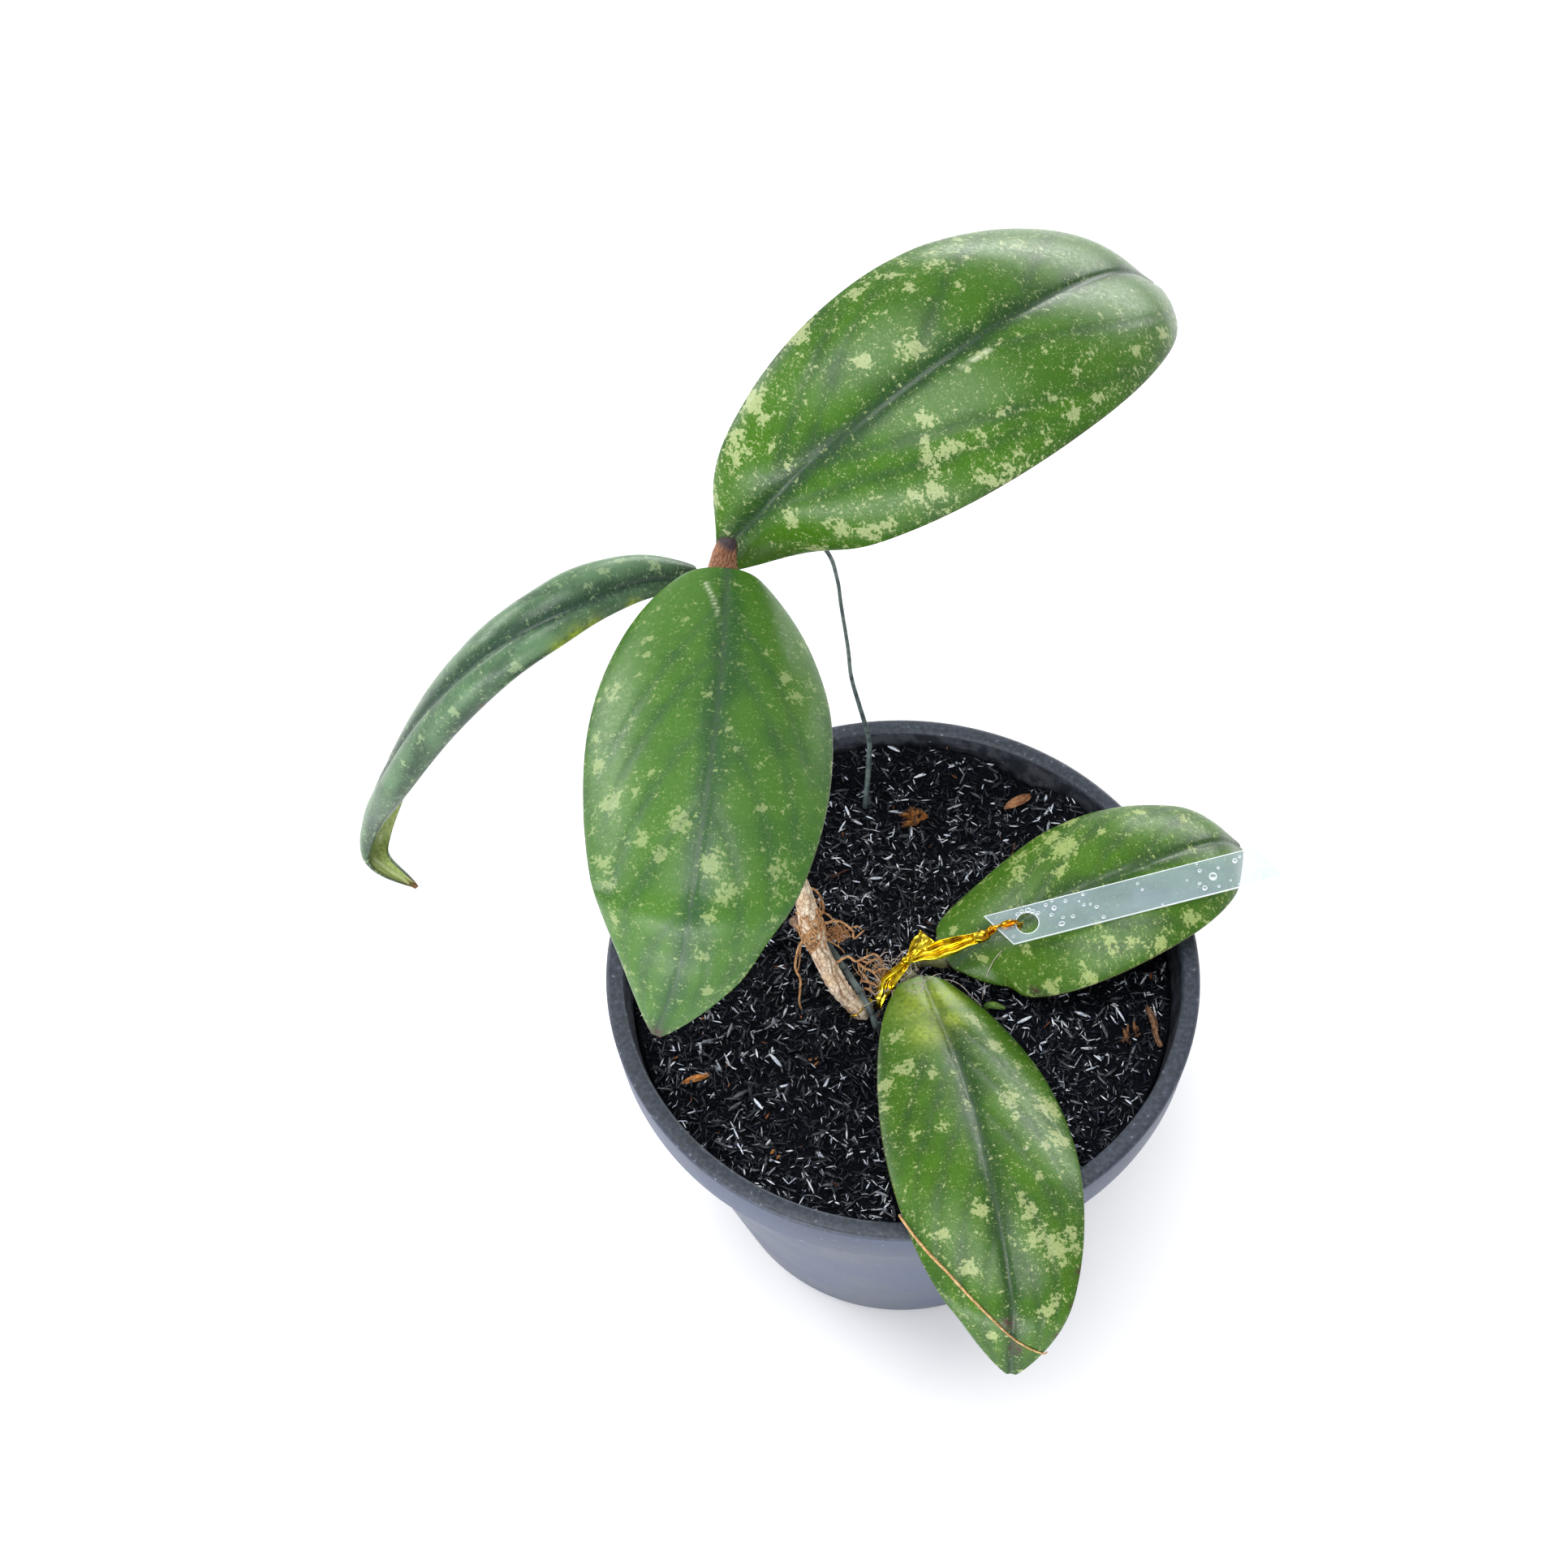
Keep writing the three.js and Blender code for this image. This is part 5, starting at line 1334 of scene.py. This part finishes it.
# Twist tie of gold foil: a twisted neck in the label's hole, a knot, a folded ribbon with a flap, and a
# second twist down to the foot of the stem. Each strip has its points and half widths, and twists give its
# turns, folds, their depth, how crumpled it is, its steps and columns, and the angle it starts at.
tie = dict(
    neck=([(30.2, 2.8, 121.3), (29.8, 2.9, 119.3), (27, 3.9, 117.9), (23.1, 3.1, 117.8), (20, 1.5, 118)],
          [0.6, 0.6, 0.7, 0.8, 1.2]),
    over=([(30.4, 2.7, 119.2), (29.4, 3, 121.4), (27.2, 2.8, 121.6), (24, 2.3, 120.9), (21.6, 1.8, 119.4),
           (19.8, 1.3, 118.4)], [0.5, 0.75, 0.8, 0.85, 1.0, 1.5]),
    ribbon=([(20.6, 1.6, 118), (15, 0.6, 117), (10.5, -0.1, 116), (5.8, -0.8, 114.8), (1.4, -1.5, 113.6)],
            [1.4, 2.0, 2.3, 2.0, 0.8]),
    flap=([(1.4, -1.4, 113.8), (3.6, 0.6, 115.3), (6.9, 3.4, 116.8)], [0.7, 1.9, 3.1]),
    foot=([(1.8, -1.4, 113.7), (-1.2, -3.3, 111.4), (-3.7, -4.9, 109), (-5.6, -7, 105.6),
           (-6.4, -8.6, 102.4)], [0.7, 1.5, 2.1, 1.7, 0.7]),
    loop=([(-6.1, -7.8, 103.4), (-8, -5.9, 102), (-9.8, -5.5, 101.8), (-9.6, -7, 103), (-10.4, -9, 103.7),
           (-12.2, -10.3, 103), (-13.9, -10, 101.6)], [0.6, 0.4, 0.3, 0.28, 0.25, 0.22, 0.2]),
    knots=[((20.2, 1.5, 118.1), (2.1, 1.5, 1.3)), ((1.4, -1.4, 113.7), (1.3, 1.0, 1.0))],
    twists=dict(neck=(1.3, 1.5, 0.3, 0.15, 60, 12), over=(1.4, 1.5, 0.3, 0.15, 60, 12),
                ribbon=(0.02, 2.3, 0.42, 0.07, 60, 36), flap=(0.05, 1.1, 0.25, 0.1, 26, 20, 0.3),
                foot=(0.12, 1.6, 0.4, 0.12, 60, 24, -0.1), loop=(1.5, 1.0, 0.06, 0.06, 60, 4)),
    thickness=0.12, warm=(18.5, 21),
)


def foilStrip(course, turns, folds, depth, crumple, steps, columns, start=0.0):
    # a strip of foil along a line: twisted by turns, pleated into folds, crumpled, with painted shade in its
    # fold valleys
    points, halfWidths = course
    line = route(points)
    bm = bmesh.new()
    bmesh.ops.create_grid(bm, x_segments=columns, y_segments=steps, size=0.5)
    foldShade = bm.verts.layers.float.new("foldShade")
    for vert in bm.verts:
        x, s = vert.co.x * 2, vert.co.y + 0.5
        tangent = tangentAt(line, s)
        facing = (towardsViewer - tangent * tangent.dot(towardsViewer)).normalized()
        across = tangent.cross(facing)
        angle = start + math.tau * turns * s + 0.3 * math.sin(9 * s)
        side = across * math.cos(angle) + facing * math.sin(angle)
        normal = facing * math.cos(angle) - across * math.sin(angle)
        half = along(halfWidths, s)
        wavy = math.sin(folds * math.pi * x + 1.4 * lumps((s * 5, 0, folds), 1.0))
        place = pointAt(line, s) + side * half * x + normal * depth * wavy
        crushed = lumps(place, 1.7, 2)
        place += normal * crumple * crushed + side * crumple * 0.4 * lumps(place, 1.3, 5)
        vert.co = place * mm
        # painted shade: darker down in the pleats and dents
        vert[foldShade] = smooth(0.2, 0.9, -wavy - 0.6 * crushed)
    return bm


def foilKnot(centre, size):
    bm = bmesh.new()
    bmesh.ops.create_icosphere(bm, subdivisions=3, radius=1)
    foldShade = bm.verts.layers.float.new("foldShade")
    for vert in bm.verts:
        way = vert.co.normalized()
        crease = 1 - 0.5 * abs(noise.noise(way * 2.3 + Vector(centre))) - 0.25 * abs(noise.noise(way * 5))
        # painted shade: darker in the knot's dents
        vert[foldShade] = smooth(0.85, 0.7, crease)
        place = Vector(centre) + Vector((way.x * size[0], way.y * size[1], way.z * size[2])) * crease * 1.25
        vert.co = place * mm
    return bm


def foilMaterial():
    material, tree, shader = finish("gold foil", Roughness=0.2, Metallic=1.0)
    place = objectPlace(tree)
    tone = noisy(tree, place, 300.0, 3.0)
    colour = tint(tree, ramp(tree, tone, 0.35, 0.65), rgb(214, 174, 26), rgb(246, 222, 66))
    x = add(tree, "SeparateXYZ", {"Vector": place}).outputs[0]
    start, full = (value * mm for value in tie["warm"])
    colour = tint(tree, ramp(tree, x, start, full, 0.0, 0.65), colour, rgb(190, 116, 26))
    # painted shade: brown in the fold valleys and dents
    foldShade = painted(tree, "foldShade")
    colour = tint(tree, calc(tree, "MULTIPLY", foldShade, 0.75), colour, rgb(96, 62, 18))
    put(tree, shader.inputs["Base Color"], colour)
    put(tree, shader.inputs["Roughness"], ramp(tree, tone, 0.3, 0.7, 0.12, 0.28))
    bumped(tree, shader, tone, 0.00008, 0.4)
    return material


def makeTie():
    strips = [foilStrip(tie[part], *how) for part, how in tie["twists"].items()]
    strips += [foilKnot(*knot) for knot in tie["knots"]]
    made = piece("foil_tie", gather(strips), [foilMaterial()], ["twist_tie"])
    wall = made.modifiers.new("foil thickness", "SOLIDIFY")
    wall.thickness = tie["thickness"] * mm
    wall.offset = 0


makeTie()
print("tie made")


# Loose husks, chips and a stick on the medium, and one green bud.
bits = {
    "husk_back": dict(kind="husk", at=(36.4, 52.4), size=(9.4, 3, 1.6), heading=25,
                      tones=(rgb(138, 92, 62), rgb(196, 142, 100), rgb(92, 54, 34))),
    "husk_left": dict(kind="husk", at=(-53.4, -24.3), size=(8.2, 1.9, 1.5), heading=15,
                      tones=(rgb(170, 98, 34), rgb(232, 158, 80), rgb(84, 46, 24))),
    "bark_chip_back": dict(kind="chip", shards=16, spread=1.4, at=(7.6, 49),
                           size=(6.6, 5.2, 3), heading=-40,
                           tones=(rgb(56, 36, 26), rgb(186, 116, 44), rgb(30, 18, 12))),
    "bark_chip_dark": dict(kind="chip", shards=3, spread=0.25, at=(-15.6, 33),
                           size=(8.4, 2.6, 1.6), heading=25,
                           tones=(rgb(58, 30, 24), rgb(88, 48, 36), rgb(28, 16, 14))),
    "bark_chip_right": dict(kind="chip", shards=9, spread=0.9, at=(56.7, -20.4),
                            size=(5.4, 3.6, 2.4), heading=60,
                            tones=(rgb(76, 50, 36), rgb(156, 106, 62), rgb(38, 24, 18))),
    "bark_chip_front": dict(kind="chip", shards=3, spread=0.8, at=(-24, -22.5),
                            size=(2.6, 2.3, 2), heading=10,
                            tones=(rgb(168, 108, 58), rgb(222, 170, 112), rgb(110, 66, 34))),
    "bark_chip_near": dict(kind="chip", shards=3, spread=0.5, at=(-34.8, -46.7),
                           size=(3.2, 2.8, 2.2), heading=50,
                           tones=(rgb(160, 106, 50), rgb(214, 164, 92), rgb(98, 60, 30))),
    "stick": dict(kind="stick", at=(62.4, -18.4), size=(12.6, 1.8, 1.5), heading=-80,
                  tones=(rgb(92, 64, 46), rgb(150, 112, 84), rgb(52, 34, 26))),
}
bitGap = 0.6
bud = dict(points=[(20.4, -8.4, 96), (21.4, -8.9, 100.6), (23.2, -9.8, 102.2), (25.8, -10.8, 102)],
           radii=[0.6, 0.9, 1.0, 0.3])


def makeBit(node, bit):
    length, width, height = bit["size"]
    x, y = bit["at"]
    centre = Vector((x, y, surfaceAt(x, y) + bitGap + height / 2))
    turn = Matrix.Rotation(math.radians(bit["heading"]), 3, "Z")

    def huskPlace(u, s):
        # a split husk: a ribbed boat, pointed at both ends
        angle = math.tau * u
        full = max(0.02, (4 * s * (1 - s)) ** 0.75)
        ribs = 0.07 * math.cos(9 * angle) * width / 2
        out = math.cos(angle) * (width / 2 + ribs) * full
        lift = math.sin(angle) * height / 2 * full * (1.0 if math.sin(angle) > 0 else -0.25)
        arch = 0.25 * height * (1 - (2 * s - 1) ** 2)
        return centre + turn @ Vector(((s - 0.5) * length, out, lift + arch - height / 4))

    def shard(index):
        # one torn splinter of a chip, lying across the others
        long, wide = length * random.uniform(0.25, 0.75), width * random.uniform(0.12, 0.3)
        thick = height * random.uniform(0.3, 0.5)
        spread = bit["spread"]
        lie = Matrix.Rotation(random.uniform(-spread, spread), 3, "Z")
        lie = lie @ Matrix.Rotation(random.uniform(-0.3, 0.3), 3, "Y")
        aside = Vector((random.uniform(-0.4, 0.4) * length, random.uniform(-0.5, 0.5) * width,
                        random.uniform(-0.25, 0.3) * height))

        def shardPlace(u, s):
            angle = math.tau * u
            full = (1 - abs(2 * s - 1) ** 2.5) ** 0.6 if 0 < s < 1 else 0.02
            flat = Vector(((s - 0.5) * long, math.cos(angle) * wide / 2 * full,
                           math.sin(angle) * thick / 2 * full))
            rough = 1 + 0.6 * lumps(flat, 1.3, x + 5 * index) + 0.3 * lumps(flat, 0.4, y)
            torn = 0.5 * lumps((flat.y, flat.z, index), 0.35, 1)
            splinter = Vector((flat.x * (1 + 0.3 * torn), flat.y * rough, flat.z * rough))
            return centre + turn @ (aside + lie @ splinter)

        return closed(skin(34, 26, shardPlace, (wide / 4, long / 10)))

    if bit["kind"] == "stick":
        way = turn @ Vector((length / 2 - 0.4, 0, 0))
        bend = turn @ Vector((0, 0.5, 0.2))
        points = [centre - way, centre - way * 0.3 + bend, centre + way * 0.4 - bend * 0.5, centre + way]
        bm = tube(points, [0.75, 0.9, 0.7, 0.6], 22, 120, knobbly(0.22, 0.9, 2, 0.4))
    elif bit["kind"] == "husk":
        bm = closed(skin(70, 54, huskPlace, (width / 4, length / 10)))
    else:
        bm = gather([shard(index) for index in range(bit["shards"])])
    dark, light, crack = bit["tones"]
    material = fibrousMaterial(node + " surface", dark, light, crack, 16.0)
    name = {"husk": "split_", "chip": "torn_", "stick": "dry_"}[bit["kind"]] + node
    piece(name, bm, [material], [node])


for node, bit in bits.items():
    makeBit(node, bit)
budSkin = fibrousMaterial("bud skin", rgb(66, 98, 32), rgb(104, 138, 54), rgb(52, 74, 28), 18.0, 0.5)
piece("small_green_bud", tube(bud["points"], bud["radii"], 24, 60), [budSkin], ["green_bud"])
print("loose bits made")


# A tan fibre lying across the tip of the front leaf.
def onLeaf(leaf, s, v, lift):
    centre, _, right, up = midrib(leaf, route(leaf["spine"]), s)
    hand = 1 if v > 0 else -1
    half = leaf["reach"][1 if v > 0 else 0] * outline(leaf, s)
    out, rise, slope = section(leaf["fold"][0], leaf["fold"][2 if v > 0 else 1], abs(v))
    normal = up * math.cos(slope) - right * (hand * math.sin(slope))
    return centre + right * (hand * half * out) + up * (half * rise) + normal * lift


def makeFibre():
    fibreSkin = fibrousMaterial("tan fibre", rgb(176, 132, 84), rgb(222, 184, 132), rgb(120, 80, 44), 20.0)
    crossing = [(0.6, 1.02), (0.65, 0.95), (0.695, 0.87), (0.755, 0.72), (0.81, 0.56), (0.86, 0.32),
                (0.902, 0.01), (0.925, -0.45), (0.943, -0.94), (0.94, -1.04)]
    points = [onLeaf(leaves["leaf_front"], s, v, 0.25) for s, v in crossing]
    piece("tan_fibre", tube(points, [0.3, 0.34, 0.3, 0.26, 0.2], 8, 120), [fibreSkin], [])


makeFibre()
